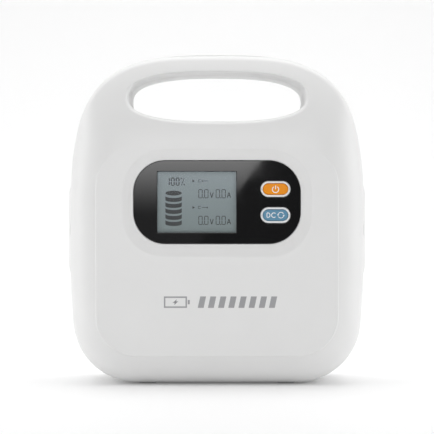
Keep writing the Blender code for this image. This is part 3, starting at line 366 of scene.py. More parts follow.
def slope_width(upwards):
    case = bpy.context.scene.station_case
    return case.recess_slope + case.recess_sill * np.clip(-upwards, 0, 1)


def recess_depth(points):
    """Depth of the recess below the plate, with its edge rounded over."""
    distance, upwards = lens_distance(points)
    rise = 1 - distance / slope_width(upwards)
    soft = 0.11
    depth = np.where(rise > soft, rise, np.where(rise < -soft, 0, (rise + soft) ** 2 / (4 * soft)))
    foot = bpy.context.scene.station_case.recess_foot
    return np.where(distance < GAP, HALF_DEPTH + SEAT_FRONT, foot * np.minimum(depth, 1))


# ------------------------------------------------------------------ meshes


def inside_loop(points, loop):
    """Whether each point lies in a closed loop."""
    ends = np.roll(loop, -1, axis=0)
    hit = np.zeros(len(points), bool)
    for (x0, z0), (x1, z1) in zip(loop, ends):
        crossing = (z0 > points[:, 1]) != (z1 > points[:, 1])
        slope = (x1 - x0) / (z1 - z0) if z1 != z0 else 0.0
        hit ^= crossing & (points[:, 0] < x0 + slope * (points[:, 1] - z0))
    return hit


def triangulate(loops, holes=(), loose=None):
    """Points, and triangles between the first loop and the holes through every loop's edges."""
    loops = [*loops, *holes]
    points = np.vstack([*loops, *([] if loose is None else [loose])])
    edges = []
    start = 0
    for loop in loops:
        count = len(loop)
        edges += [(start + i, start + (i + 1) % count) for i in range(count)]
        start += count
    scaled = [Vector(p) for p in (points / MM).tolist()]
    out, _, faces, origins, _, _ = delaunay_2d_cdt(scaled, edges, [], 0, 1e-7)
    index = [origin[0] if origin else -1 for origin in origins]
    faces = np.array([[index[v] for v in face] for face in faces if len(face) == 3])
    faces = faces[(faces >= 0).all(1)]
    middles = points[faces].mean(1)
    keep = inside_loop(middles, loops[0])
    for hole in holes:
        keep &= ~inside_loop(middles, hole)
    return points, faces[keep]


def thing(name, mesh):
    obj = bpy.data.objects.new(name, mesh)
    bpy.context.scene.collection.objects.link(obj)
    return obj


def mesh_from(name, bm):
    """A mesh with a bmesh's shape. The bmesh is freed."""
    mesh = bpy.data.meshes.new(name)
    bm.to_mesh(mesh)
    bm.free()
    return mesh


def bmesh_from(points, faces):
    """A bmesh with these points and faces."""
    mesh = bpy.data.meshes.new("given")
    mesh.from_pydata(points, [], faces)
    bm = bmesh.new()
    bm.from_mesh(mesh)
    bpy.data.meshes.remove(mesh)
    return bm


class Patches:
    """Collects patches of one closed surface, to be welded where their edges meet."""

    def __init__(self):
        self.points = []
        self.faces = []
        self.count = 0

    def add(self, points, faces):
        self.points.append(np.asarray(points, float))
        self.faces += [tuple(int(i) + self.count for i in face) for face in faces]
        self.count += len(points)

    def rows(self, rings):
        """A strip of quads through closed rings of the same number of points."""
        size = len(rings[0])
        faces = []
        for row in range(len(rings) - 1):
            for i in range(size):
                j = (i + 1) % size
                a, b = row * size, (row + 1) * size
                faces.append((a + i, a + j, b + j, b + i))
        self.add(np.vstack(rings), faces)

    def welded(self, weld=1e-6):
        bm = bmesh_from(np.vstack(self.points).tolist(), self.faces)
        bmesh.ops.remove_doubles(bm, verts=bm.verts, dist=weld)
        bmesh.ops.recalc_face_normals(bm, faces=bm.faces)
        return bm

    def object(self, name):
        return thing(name, mesh_from(name, self.welded()))


def front_map(points, depth):
    """Upright outline points at a depth in Y, which may be one value or one for each point."""
    return np.c_[points[:, 0], np.broadcast_to(depth, len(points)), points[:, 1]]


def side_map(side):
    def place(points, depth):
        return np.c_[side * np.broadcast_to(depth, len(points)), points[:, 0], points[:, 1]]

    return place


def slab(name, outer, holes=(), near=0.0, far=0.0, soft=0.0, place=front_map, steps=4):
    """A plate with holes between two depths, its edges rounded on the near face."""
    way = 1 if far > near else -1
    turns = [math.pi / 2 * i / steps for i in range(steps + 1)] if soft else [math.pi / 2]
    patches = Patches()
    faces = []
    for loop, sign in ((outer, -1), *((hole, 1) for hole in holes)):
        rings = [
            place(offset(loop, sign * soft * (1 - math.sin(turn))), near + way * soft * (1 - math.cos(turn)))
            for turn in turns
        ]
        if soft:
            rings.insert(0, place(offset(loop, sign * (soft + FLAT_MARGIN)), near))
        rings.append(place(loop, far))
        patches.rows(rings)
        faces.append(offset(loop, sign * (soft + FLAT_MARGIN) if soft else 0.0))
    points, triangles = triangulate(faces[:1], faces[1:])
    patches.add(place(points, near), triangles)
    points, triangles = triangulate([outer], list(holes))
    patches.add(place(points, far), triangles)
    return patches.object(name)


def layered(name, outline, levels, place=front_map):
    """A solid through copies of an outline, each at its depth and inset, closed by flat ends."""
    patches = Patches()
    loops = [offset(outline, -inset) for _, inset in levels]
    patches.rows([place(loop, depth) for loop, (depth, _) in zip(loops, levels)])
    for end in (0, -1):
        points, triangles = triangulate([loops[end]])
        patches.add(place(points, levels[end][0]), triangles)
    return patches.object(name)


def lathe(name, profile, matrix, steps=64):
    """A turned solid. The profile's points are (radius, height); one that ends where it began is a ring."""
    ring = profile[0] == profile[-1]
    angle = np.linspace(0, math.tau, steps, endpoint=False)
    rings = [np.c_[r * np.cos(angle), r * np.sin(angle), np.full(steps, h)] for r, h in profile]
    patches = Patches()
    patches.rows(rings)
    bm = patches.welded(1e-7)
    bmesh.ops.dissolve_degenerate(bm, dist=1e-7, edges=bm.edges)
    bmesh.ops.recalc_face_normals(bm, faces=bm.faces)
    mesh = mesh_from(name, bm)
    mesh.transform(matrix)
    return thing(name, mesh)


def arc(centre, radius, start, end, steps=5):
    """Profile points along an arc, angles in degrees."""
    turns = [math.radians(start + (end - start) * i / steps) for i in range(steps + 1)]
    return [(centre[0] + radius * math.cos(t), centre[1] + radius * math.sin(t)) for t in turns]


def block(name, low, high):
    bm = bmesh.new()
    bmesh.ops.create_cube(bm, size=1.0)
    low, high = Vector(low), Vector(high)
    bmesh.ops.scale(bm, vec=high - low, verts=bm.verts)
    bmesh.ops.translate(bm, vec=(low + high) / 2, verts=bm.verts)
    return thing(name, mesh_from(name, bm))


def rod(name, start, end, radius, steps=40):
    """A cylinder between two points."""
    start, end = Vector(start), Vector(end)
    turn = Vector((0, 0, 1)).rotation_difference(end - start).to_matrix().to_4x4()
    bm = bmesh.new()
    bmesh.ops.create_cone(
        bm,
        cap_ends=True,
        segments=steps,
        radius1=radius,
        radius2=radius,
        depth=(end - start).length,
        matrix=Matrix.Translation((start + end) / 2) @ turn,
    )
    return thing(name, mesh_from(name, bm))


def carve(target, operation, others, solver="MANIFOLD"):
    """Applies a Boolean with each of the others to the target, and removes them."""
    for other in others:
        modifier = target.modifiers.new(other.name, "BOOLEAN")
        modifier.operation = operation
        modifier.object = other
        modifier.solver = solver
    bake(target)
    for other in others:
        bpy.data.objects.remove(other)
    return target


def bake(obj):
    """Turns an object's evaluated shape into its plain mesh."""
    graph = bpy.context.evaluated_depsgraph_get()
    mesh = bpy.data.meshes.new_from_object(obj.evaluated_get(graph), depsgraph=graph)
    obj.modifiers.clear()
    obj.data = mesh


def joined(name, pieces):
    """One object from several, whose meshes are already in place."""
    bm = bmesh.new()
    for piece in pieces:
        bm.from_mesh(piece.data)
    for piece in pieces:
        bpy.data.objects.remove(piece)
    return thing(name, mesh_from(name, bm))


def finish_piece(obj, body, slot, material, *nodes, sharp=38.0):
    """Shades a piece, gives it its material, ties it to its body and hides the nodes it replaces; its slot is
    not used.
    """
    obj.data.shade_smooth()
    obj.data.set_sharp_from_angle(angle=math.radians(sharp))
    obj.data.materials.clear()
    obj.data.materials.append(material)
    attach(obj, body)
    if nodes:
        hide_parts(*nodes)
    return obj


# ------------------------------------------------------------------ materials


class Shader:
    """A material with a Principled shader and helpers that add nodes to it."""

    def __init__(self, name, colour, roughness, metallic=0.0):
        self.material = bpy.data.materials.new(name)
        self.material.use_nodes = True
        self.tree = self.material.node_tree
        self.main = self.tree.nodes["Principled BSDF"]
        self.main.inputs["Base Color"].default_value = (*colour, 1)
        self.main.inputs["Roughness"].default_value = roughness
        self.main.inputs["Metallic"].default_value = metallic
        self.place = self.add("ShaderNodeTexCoord").outputs["Object"]

    def add(self, kind, **values):
        node = self.tree.nodes.new(kind)
        for key, value in values.items():
            setattr(node, key, value)
        return node

    def link(self, source, node, socket):
        self.tree.links.new(source, node.inputs[socket])

    def noise(self, scale, detail=2.0, stretch=None):
        node = self.add("ShaderNodeTexNoise")
        node.inputs["Scale"].default_value = scale
        node.inputs["Detail"].default_value = detail
        source = self.place
        if stretch:
            mapping = self.add("ShaderNodeMapping")
            mapping.inputs["Scale"].default_value = stretch
            self.link(source, mapping, "Vector")
            source = mapping.outputs["Vector"]
        self.link(source, node, "Vector")
        return node.outputs["Fac"]

    def spread(self, source, low, high, bottom=0.3, top=0.7):
        node = self.add("ShaderNodeMapRange")
        for socket, value in zip(("From Min", "From Max", "To Min", "To Max"), (bottom, top, low, high)):
            node.inputs[socket].default_value = value
        self.link(source, node, "Value")
        return node.outputs["Result"]

    def mix(self, factor, first, second):
        node = self.add("ShaderNodeMix", data_type="RGBA")
        node.inputs[6].default_value = (*first, 1)
        node.inputs[7].default_value = (*second, 1)
        self.link(factor, node, 0)
        return node.outputs[2]

    def mottle(self, colour, amount, scale):
        """Uneven colour, a share lighter and darker."""
        low = [c * (1 - amount) for c in colour]
        high = [min(1.0, c * (1 + amount)) for c in colour]
        self.link(self.mix(self.spread(self.noise(scale, 4.0), 0, 1), low, high), self.main, "Base Color")

    def uneven_gloss(self, low, high, scale):
        self.link(self.spread(self.noise(scale, 3.0), low, high), self.main, "Roughness")

    def grain(self, source, depth, strength=0.5):
        node = self.add("ShaderNodeBump")
        node.inputs["Distance"].default_value = depth
        node.inputs["Strength"].default_value = strength
        self.link(source, node, "Height")
        self.link(node.outputs["Normal"], self.main, "Normal")


def moulded(name, colour, gloss, grain_scale, grain_depth, variation=0.015, coat=0.0, shine=0.5):
    """Moulded plastic: a fine grain, slightly uneven gloss and colour."""
    shader = Shader(name, colour, gloss)
    shader.mottle(colour, variation, 38.0)
    shader.uneven_gloss(gloss * 0.88, gloss * 1.12, 90.0)
    shader.grain(shader.noise(grain_scale, 3.0), grain_depth)
    shader.main.inputs["Specular IOR Level"].default_value = shine
    if coat:
        shader.main.inputs["Coat Weight"].default_value = coat
        shader.main.inputs["Coat Roughness"].default_value = 0.06
    return shader.material


def metal(name, colour, gloss, stretch):
    """Bare metal with fine lines, drawn out by a stretch for each axis."""
    shader = Shader(name, colour, gloss, 1.0)
    lines = shader.noise(900.0, 4.0, stretch)
    shader.link(shader.spread(lines, gloss * 0.7, gloss * 1.4), shader.main, "Roughness")
    darker = [c * 0.9 for c in colour]
    shader.link(shader.mix(shader.spread(lines, 0, 1), darker, colour), shader.main, "Base Color")
    shader.grain(lines, 0.01 * MM, 0.3)
    return shader.material


def lens_black():
    """Polished acrylic, printed black behind, with hardly visible waves in its gloss."""
    shader = Shader("lens_black", bpy.context.scene.station_panel.lens, 0.04)
    shader.uneven_gloss(0.03, 0.055, 60.0)
    shader.mottle(bpy.context.scene.station_panel.lens, 0.06, 25.0)
    shader.grain(shader.noise(14.0, 1.0), 0.006 * MM, 0.2)
    return shader.material


def clear_pane():
    """Clear acrylic: see-through, with a thin mirror on each face."""
    shader = Shader("clear_pane", (0.95, 0.95, 0.95), 0.035, 1.0)
    shader.uneven_gloss(0.03, 0.045, 60.0)
    through = shader.add("ShaderNodeBsdfTransparent")
    through.inputs["Color"].default_value = (0.98, 0.99, 0.99, 1)
    mirror = shader.add("ShaderNodeFresnel")
    mirror.inputs["IOR"].default_value = 1.12
    mix = shader.add("ShaderNodeMixShader")
    shader.link(mirror.outputs["Fac"], mix, 0)
    shader.link(through.outputs["BSDF"], mix, 1)
    shader.link(shader.main.outputs["BSDF"], mix, 2)
    shader.link(mix.outputs["Shader"], shader.tree.nodes["Material Output"], "Surface")
    return shader.material


def screen_glass():
    """The display's ground, with painted light: paler at the top, where more light falls, and darker at its
    foot; with the fine mottle of a liquid crystal's reflector.
    """
    panel = bpy.context.scene.station_panel
    shader = Shader("screen_ground", panel.screen_top_lit, 0.32)
    split = shader.add("ShaderNodeSeparateXYZ")
    shader.link(shader.place, split, "Vector")
    low, high = LENS_LEVEL - SCREEN[1] / 2, LENS_LEVEL + SCREEN[1] / 2
    # painted light: the ground fades from a darker foot to a paler top
    fade = shader.spread(split.outputs["Z"], 0, 1, low, high)
    base = shader.mix(fade, panel.screen_foot_shaded, panel.screen_top_lit)
    speckle = shader.add("ShaderNodeMix", data_type="RGBA", blend_type="MULTIPLY")
    speckle.inputs[0].default_value = 1.0
    shader.link(base, speckle, 6)
    shader.link(shader.mix(shader.noise(2600.0, 1.0), (0.93, 0.93, 0.93), (1, 1, 1)), speckle, 7)
    shader.link(speckle.outputs[2], shader.main, "Base Color")
    return shader.material


def board_green():
    """Solder resist with paler copper runs under it."""
    shader = Shader("board_green", (0.01, 0.09, 0.04), 0.35)
    cells = shader.add("ShaderNodeTexVoronoi", feature="DISTANCE_TO_EDGE")
    cells.inputs["Scale"].default_value = 170.0
    shader.link(shader.place, cells, "Vector")
    runs = shader.spread(cells.outputs["Distance"], 1, 0, 0.03, 0.07)
    shader.link(shader.mix(runs, (0.01, 0.09, 0.04), (0.03, 0.2, 0.09)), shader.main, "Base Color")
    shader.grain(runs, 0.03 * MM)
    return shader.material


@functools.cache
def finishes():
    """The finish of each material slot of the record, made once."""
    scene = bpy.context.scene
    buttons = scene.station_buttons
    made = {
        "case_white": moulded("case_white", scene.station_case.colour, 0.36, 1500.0, 0.012 * MM, 0.006),
        "panel_black": lens_black(),
        "window_clear": clear_pane(),
        "lcd_grey": screen_glass(),
        "light_white": moulded("light_white", buttons.rim, 0.3, 1200.0, 0.01 * MM, coat=0.3),
        "button_orange": moulded("button_orange", buttons.power, 0.34, 1600.0, 0.01 * MM, 0.02, shine=0.2),
        "button_blue": moulded("button_blue", buttons.outlet, 0.34, 1600.0, 0.01 * MM, 0.02, shine=0.2),
        "bay_black": moulded("bay_black", (0.022, 0.022, 0.024), 0.52, 1100.0, 0.03 * MM, 0.08),
        "steel": metal("steel", (0.62, 0.61, 0.6), 0.28, (1, 1, 0.08)),
        "brass": metal("brass", (0.78, 0.58, 0.28), 0.26, (1, 1, 0.08)),
        "cell_sleeve": moulded("cell_sleeve", (0.05, 0.17, 0.45), 0.35, 500.0, 0.02 * MM, 0.05),
        "board_green": board_green(),
        "foot_rubber": moulded("foot_rubber", (0.42, 0.42, 0.42), 0.78, 900.0, 0.05 * MM, 0.05),
        "aluminium": metal("aluminium", (0.75, 0.76, 0.77), 0.35, (0.1, 1, 1)),
        "lead_red": moulded("lead_red", (0.5, 0.012, 0.012), 0.5, 700.0, 0.03 * MM, 0.05),
        "lead_black": moulded("lead_black", (0.014, 0.014, 0.014), 0.5, 700.0, 0.03 * MM, 0.05),
        "ribbon_white": moulded("ribbon_white", (0.72, 0.72, 0.7), 0.45, 300.0, 0.03 * MM, 0.03),
    }
    made["mark_grey"] = moulded("mark_grey", scene.station_panel.mark, 0.42, 1500.0, 0.012 * MM, 0.03)
    made["ink"] = moulded("ink", scene.station_panel.ink, 0.4, 2500.0, 0.004 * MM, 0.05)
    made["faint_ink"] = moulded("faint_ink", scene.station_panel.faint_ink, 0.4, 2500.0, 0.004 * MM, 0.05)
    made["mark_white"] = moulded("mark_white", (0.85, 0.85, 0.85), 0.4, 1600.0, 0.004 * MM, 0.01)
    return made


# ------------------------------------------------------------------ copies by Geometry Nodes


def copies_tree():
    """Puts a prototype on each point, turned at random about Y, and gives the copies one material."""
    tree = bpy.data.node_groups.get("Copies on points")
    if tree:
        return tree
    tree = bpy.data.node_groups.new("Copies on points", "GeometryNodeTree")
    face = tree.interface
    face.new_socket("Geometry", in_out="OUTPUT", socket_type="NodeSocketGeometry")
    face.new_socket("Points", in_out="INPUT", socket_type="NodeSocketGeometry")
    face.new_socket("Prototype", in_out="INPUT", socket_type="NodeSocketObject")
    face.new_socket("Turn", in_out="INPUT", socket_type="NodeSocketFloat")
    face.new_socket("Seed", in_out="INPUT", socket_type="NodeSocketInt")
    face.new_socket("Material", in_out="INPUT", socket_type="NodeSocketMaterial")
    given = tree.nodes.new("NodeGroupInput")
    result = tree.nodes.new("NodeGroupOutput")
    info = tree.nodes.new("GeometryNodeObjectInfo")
    turn = tree.nodes.new("FunctionNodeRandomValue")
    angles = tree.nodes.new("ShaderNodeCombineXYZ")
    spread = tree.nodes.new("GeometryNodeInstanceOnPoints")
    real = tree.nodes.new("GeometryNodeRealizeInstances")
    paint = tree.nodes.new("GeometryNodeSetMaterial")
    for source, target in (
        (given.outputs["Prototype"], info.inputs["Object"]),
        (given.outputs["Turn"], turn.inputs["Max"]),
        (given.outputs["Seed"], turn.inputs["Seed"]),
        (given.outputs["Points"], spread.inputs["Points"]),
        (info.outputs["Geometry"], spread.inputs["Instance"]),
        (angles.outputs["Vector"], spread.inputs["Rotation"]),
        (spread.outputs["Instances"], real.inputs["Geometry"]),
        (real.outputs["Geometry"], paint.inputs["Geometry"]),
        (given.outputs["Material"], paint.inputs["Material"]),
        (paint.outputs["Geometry"], result.inputs["Geometry"]),
    ):
        tree.links.new(source, target)
    value = next(s for s in turn.outputs if s.enabled)
    tree.links.new(value, angles.inputs["Y"])
    return tree


def copies(name, prototype, places, material, turn=0.0, seed=1):
    """One object with a copy of the prototype at each place. The prototype is removed."""
    mesh = bpy.data.meshes.new(name)
    mesh.from_pydata([tuple(place) for place in places], [], [])
    obj = thing(name, mesh)
    modifier = obj.modifiers.new("Copies", "NODES")
    modifier.node_group = copies_tree()
    values = {"Prototype": prototype, "Turn": turn, "Seed": seed, "Material": material}
    for item in modifier.node_group.interface.items_tree:
        if item.in_out == "INPUT" and item.name in values:
            modifier[item.identifier] = values[item.name]
    obj.update_tag()
    bpy.context.view_layer.update()
    bake(obj)
    bpy.data.objects.remove(prototype)
    return obj


# ------------------------------------------------------------------ case


def body_solid(name, facing):
    """Half of the body with its handle opening, closed at the seam, with a fine skin."""
    case = bpy.context.scene.station_case
    front = facing < 0
    outline = resample(silhouette(), 330)
    wall_top = offset(outline, -DRAFT)
    edge = from_plate(wall_top)[0]
    band = np.linalg.norm(edge - wall_top, axis=1)
    soft = case.seam_round
    levels = [(GAP / 2, soft), (GAP / 2 + 0.3 * soft, 0.3 * soft), (GAP / 2 + soft, 0)]
    levels += [(y, DRAFT * y / STRAIGHT_WALL) for y in (6 * MM, 12 * MM, 18 * MM)]
    rings = [front_map(offset(outline, -inset), facing * y) for y, inset in levels]
    for share in RIM_SHARES:
        points = wall_top + (edge - wall_top) * share
        height = band_height(share * band, (1 - share) * band, points[:, 1])
        rings.append(front_map(points, facing * height))
    patches = Patches()
    patches.rows(rings)

    opening = opening_outline(220)
    upwards = (opening[:, 1] - OPENING_LEVEL) / (OPENING[1] / 2)
    lip = case.lower_lip + (case.upper_lip - case.lower_lip) * ease(upwards, -0.4, 0.7)
    lip_loops, lip_drops = [], []
    for step in range(9):
        turn = math.pi / 2 * step / 8
        lip_loops.append(offset(opening, lip * (1 - math.cos(turn))))
        lip_drops.append(lip * (1 - math.sin(turn)))

    plate_top, plate_foot = HEIGHT - PLATE_TOP_DROP, BODY_BOTTOM + PLATE_INSET
    plate = rounded_rectangle(2 * (HALF_WIDTH - PLATE_INSET), plate_top - plate_foot, PLATE_RADIUS, 20)
    plate = resample(moved(plate, 0, (plate_top + plate_foot) / 2), 260)
    creases = [offset(plate, out * MM) for out in (-0.5, 0.0, 0.12, 0.24, 0.4, 0.8)]

    lens = resample(rounded_rectangle(*LENS, LENS_RADIUS, 30), 200)
    lens = moved(lens, 0, LENS_LEVEL)
    slopes = []
    if front:
        width = slope_width(lens_distance(offset(lens, 1 * MM))[1])
        slopes = [offset(lens, out * MM) for out in (0.25, 0.32, 0.6, 1.1)]
        slopes += [offset(lens, width * s) for s in (0.24, 0.36, 0.5, 0.64, 0.78, 0.87)]
        slopes += [offset(lens, width * s) for s in (0.9, 0.93, 0.96, 0.99, 1.02, 1.05, 1.08, 1.11, 1.15)]

    loose = []
    for share in BAND_SHARES:
        loose.append((wall_top + (edge - wall_top) * share)[::2])
    loose = np.vstack(loose)
    loose = loose[from_plate(loose)[2] > 1.6 * MM]
    loose = loose[~inside_loop(loose, offset(lip_loops[-1], 1.6 * MM))]
    grid = np.stack(np.meshgrid(np.arange(-72, 73, 9), np.arange(26, 150, 9)), -1).reshape(-1, 2) * MM
    grid = grid[from_plate(grid)[2] < -3 * MM]
    if front:
        grid = grid[~inside_loop(grid, offset(slopes[-1], 2 * MM))]
    loose = np.vstack([loose, grid])

    outer = wall_top + (edge - wall_top) * RIM_SHARES[-1]
    loops = [outer, *creases, *slopes, *lip_loops[1:]]
    points, triangles = triangulate(loops, [lip_loops[0]], loose)
    height = body_height(points)
    if front:
        height -= recess_depth(points)
    count = len(outer)
    height[:count] = np.abs(rings[-1][:, 1])
    start = sum(len(loop) for loop in loops)
    index = start - len(opening) * (len(lip_loops) - 1)
    for drop in lip_drops[1:]:
        height[index : index + len(opening)] -= drop
        index += len(opening)
    height[start : start + len(opening)] -= lip_drops[0]
    patches.add(front_map(points, facing * height), triangles)

    mouth = height[start : start + len(opening)]
    tunnel = [front_map(opening, facing * mouth)]
    for share in (0.75, 0.5, 0.25):
        tunnel.append(front_map(opening, facing * (GAP / 2 + soft + share * (mouth - GAP / 2 - soft))))
    tunnel += [front_map(offset(opening, grow), facing * y) for y, grow in levels[2::-1]]
    patches.rows(tunnel)
    seam, triangles = triangulate([offset(outline, -soft)], [offset(opening, soft)])
    patches.add(front_map(seam, facing * GAP / 2), triangles)
    return patches.object(name)


def cavity(facing):
    """The hollow inside a shell, less what stands in it."""
    outline = offset(resample(silhouette(), 90), -WALL)
    edge = from_plate(outline)[0]
    band = np.linalg.norm(edge - outline, axis=1)
    rings = [front_map(outline, -facing * WALL), front_map(outline, facing * 12 * MM)]
    for share in (0.0, 0.02, 0.06, 0.14, 0.26, 0.42, 0.6, 0.8, 1.0):
        points = outline + (edge - outline) * share
        height = band_height(share * band, (1 - share) * band, points[:, 1]) - WALL
        rings.append(front_map(points, facing * height))
    patches = Patches()
    patches.rows(rings)
    for loop, y in ((outline, -facing * WALL), (edge, rings[-1][0, 1])):
        points, triangles = triangulate([loop])
        patches.add(front_map(points, y), triangles)
    hollow = patches.object("hollow")
    islands = [slab("tunnel_wall", offset(opening_outline(60), WALL), near=-DEEP, far=DEEP)]
    if facing < 0:
        seat = moved(rounded_rectangle(*LENS, LENS_RADIUS), 0, LENS_LEVEL)
        islands.append(slab("seat", offset(seat, SEAT_MARGIN), near=-DEEP, far=SEAT_BACK))
    rear = HINGE_Y + HINGE_REAR + 4 * MM
    half = DOOR_HEIGHT / 2 + LEDGE_MARGIN
    for side in (-1, 1):
        low, high = sorted((side * LEDGE_INNER, side * OUTSIDE))
        low = (low, -DOOR_FRONT - LEDGE_MARGIN, DOOR_LEVEL - half)
        islands.append(block("bay_frame", low, (high, rear, DOOR_LEVEL + half)))
    for x, z in SCREWS:
        islands.append(rod("post", (x, facing * -3 * MM, z), (x, facing * DEEP, z), SCREW_POST, 24))
    return carve(hollow, "DIFFERENCE", islands)


def hinge_rod(name, side, reach, radius, steps=40):
    """A cylinder on a door's hinge axis, as far above the door's middle as below it."""
    low, high = ((side * HINGE_X, HINGE_Y, DOOR_LEVEL + end * reach) for end in (-1, 1))
    return rod(name, low, high, radius, steps)


def bay_cutters(side):
    """What is cut from the case's side for one bay."""
    place = side_map(side)
    front, rear = -DOOR_FRONT - DOOR_GAP, HINGE_Y + HINGE_REAR
    height = DOOR_HEIGHT + 2 * DOOR_GAP
    outline = rounded_rectangle(rear - front, height, DOOR_RADIUS + DOOR_GAP)
    outline = moved(outline, (front + rear) / 2, DOOR_LEVEL)
    pocket = slab("pocket", outline, near=BAY_FLOOR, far=OUTSIDE, place=place)
    x_low, x_high = sorted((side * (BAY_FLOOR - 1 * MM), side * (OUTSIDE + 2 * MM)))
    lugs = []
    for end in (-1, 1):
        levels = sorted(DOOR_LEVEL + end * reach for reach in (height / 2 - LUG, height / 2 + 2 * MM))
        low = (x_low, HINGE_Y - LUG_DEPTH, levels[0])
        lugs.append(block("lug", low, (x_high, rear + 2 * MM, levels[1])))
    carve(pocket, "DIFFERENCE", lugs)
    window = slab(
        "window",
        moved(rounded_rectangle(*BAY, 3 * MM), BAY_Y, DOOR_LEVEL),
        near=LEDGE_INNER - 2 * MM,
        far=HALF_WIDTH + 1 * MM,
        place=place,
    )
    channel = hinge_rod("channel", side, height / 2 - LUG, KNUCKLE + 0.4 * MM)
    hole = hinge_rod("pin_hole", side, PIN_REACH, PIN_HOLE)
    x_low, x_high = sorted((side * (LEDGE_INNER - 1 * MM), side * (BAY_FLOOR + 1 * MM)))
    slot_front, slot_rear, slot_height = CATCH_SLOT
    low = (x_low, slot_front, DOOR_LEVEL - slot_height / 2)
    slot = block("slot", low, (x_high, slot_rear, DOOR_LEVEL + slot_height / 2))
    floor, radius = NAIL_NOTCH
    start, end = (side * floor, -DOOR_FRONT, DOOR_LEVEL), (side * OUTSIDE, -DOOR_FRONT, DOOR_LEVEL)
    nail = rod("nail", start, end, radius, 48)
    return [pocket, window, channel, hole, slot, nail]


def build_shell(name, facing):
    cutters = [cavity(facing)]
    for side in (-1, 1):
        cutters += bay_cutters(side)
    for x, y in FEET:
        if y * facing > 0:
            cutters.append(rod("foot_pocket", (x, y, -2 * MM), (x, y, 2.1 * MM), FOOT_POCKET, 48))
    for x, z in SCREWS:
        if facing < 0:
            cutters.append(rod("bore", (x, -12 * MM, z), (x, 2 * MM, z), SCREW_BORE, 24))
        else:
            cutters.append(rod("bore", (x, -2 * MM, z), (x, 4 * MM, z), SCREW_BORE, 24))
            cutters.append(rod("well", (x, SCREW_SEAT - GAP, z), (x, DEEP, z), SCREW_WELL, 48))
    if facing < 0:
        half_x, half_z = (size / 2 + SCREEN_MARGIN + GAP for size in SCREEN)
        low = (SCREEN_X - half_x, SEAT_FRONT - 1 * MM, LENS_LEVEL - half_z)
        cutters.append(block("screen", low, (SCREEN_X + half_x, SEAT_BACK + 1 * MM, LENS_LEVEL + half_z)))
        for level in CAP_LEVELS:
            outline = moved(pill(CAP_CLEARANCE + GAP), CAP_X, level)
            cutters.append(slab("cap_hole", outline, near=SEAT_FRONT - 1 * MM, far=SEAT_BACK + 1 * MM))
    shell = carve(body_solid(name, facing), "DIFFERENCE", cutters)
    return finish_piece(shell, "case", "case_white", finishes()["case_white"], name, sharp=33.0)


def pill(grown, steps=14):
    """The outline of a button cap, grown all round."""
    return rounded_rectangle(CAP[0] + 2 * grown, CAP[1] + 2 * grown, CAP[1], steps)


# ------------------------------------------------------------------ control panel


def build_fascia():
    lens = moved(rounded_rectangle(*LENS, LENS_RADIUS, 30), 0, LENS_LEVEL)
    window = moved(rounded_rectangle(*SCREEN, 0.3 * MM, 3), SCREEN_X, LENS_LEVEL)
    holes = [window] + [moved(pill(CAP_CLEARANCE + RING_WIDTH + GAP), CAP_X, level) for level in CAP_LEVELS]
    panel = slab("fascia_panel", lens, holes, LENS_FRONT, LENS_BACK, 0.25 * MM)
    return finish_piece(panel, "case", "panel_black", finishes()["panel_black"], "fascia_panel")


def build_display():
    made = finishes()
    low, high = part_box("display_window")
    outline = rounded_rectangle(high.x - low.x, high.z - low.z, 0.3 * MM, 3)
    outline = moved(outline, (high.x + low.x) / 2, (high.z + low.z) / 2)
    pane = slab("display_window", outline, (), LENS_FRONT, LENS_BACK, 0.1 * MM)
    finish_piece(pane, "case", "window_clear", made["window_clear"], "display_window")
    size = [s + 2 * SCREEN_MARGIN for s in SCREEN]
    outline = moved(rounded_rectangle(*size, 0.4 * MM, 3), SCREEN_X, LENS_LEVEL)
    glass = slab("lcd_glass", outline, (), SEAT_FRONT, SEAT_FRONT + LCD_THICKNESS, 0.1 * MM)
    finish_piece(glass, "case", "lcd_grey", made["lcd_grey"], "lcd_glass")
    bold, fine = display_marks()
    for name, outlines, finish in (("lcd_segments", bold, "ink"), ("lcd_figures", fine, "faint_ink")):
        marks = prints(name, outlines, SEAT_FRONT, -0.06 * MM)
        finish_piece(marks, "case", "lcd_grey", made[finish])


def on_screen(u, v):
    """A place on the display, in shares of its width from the left and of its height from the top."""
    return SCREEN_X + (u - 0.5) * SCREEN[0], LENS_LEVEL + (0.5 - v) * SCREEN[1]


def bar(x0, z0, x1, z1, width):
    """A straight mark with pointed ends, as a display's segments have."""
    along = np.array([x1 - x0, z1 - z0])
    length = np.linalg.norm(along)
    along /= length
    across = np.array([-along[1], along[0]]) * width / 2
    start, end = np.array([x0, z0]), np.array([x1, z1])
    tip = along * min(width / 2, length / 3)
    return np.array(
        [start, start + tip - across, end - tip - across, end, end - tip + across, start + tip + across]
    )


SEGMENTS = {"0": "abcdef", "1": "bc"}


def figure(x, z, width, height, which, stroke):
    """Seven-segment figure with its lower left corner at X and Z."""
    half = height / 2
    pad = stroke * 0.12
    right, top, middle = x + width, z + height, z + half
    lines = {
        "a": (x + pad, top, right - pad, top),
        "b": (right, top - pad, right, middle + pad),
        "c": (right, middle - pad, right, z + pad),
        "d": (x + pad, z, right - pad, z),
        "e": (x, middle - pad, x, z + pad),
        "f": (x, top - pad, x, middle + pad),
        "g": (x + pad, middle, right - pad, middle),
    }
    return [bar(*lines[s], stroke) for s in SEGMENTS[which]]


def ring_mark(x, z, radius, width, start=0.0, end=360.0, steps=40):
    """An arc-shaped mark, as short pieces so that each outline is convex."""
    turns = np.radians(np.linspace(start, end, steps + 1))
    pieces = []
    inner, outer = radius - width / 2, radius + width / 2
    for a, b in zip(turns[:-1], turns[1:]):
        quad = [(inner, a), (outer, a), (outer, b), (inner, b)]
        pieces.append(np.array([(x + r * math.cos(t), z + r * math.sin(t)) for r, t in quad]))
    return pieces


def disc_mark(x, z, half_width, half_height, steps=28):
    turns = np.linspace(0, math.tau, steps, endpoint=False)
    return np.c_[x + half_width * np.cos(turns), z + half_height * np.sin(turns)]


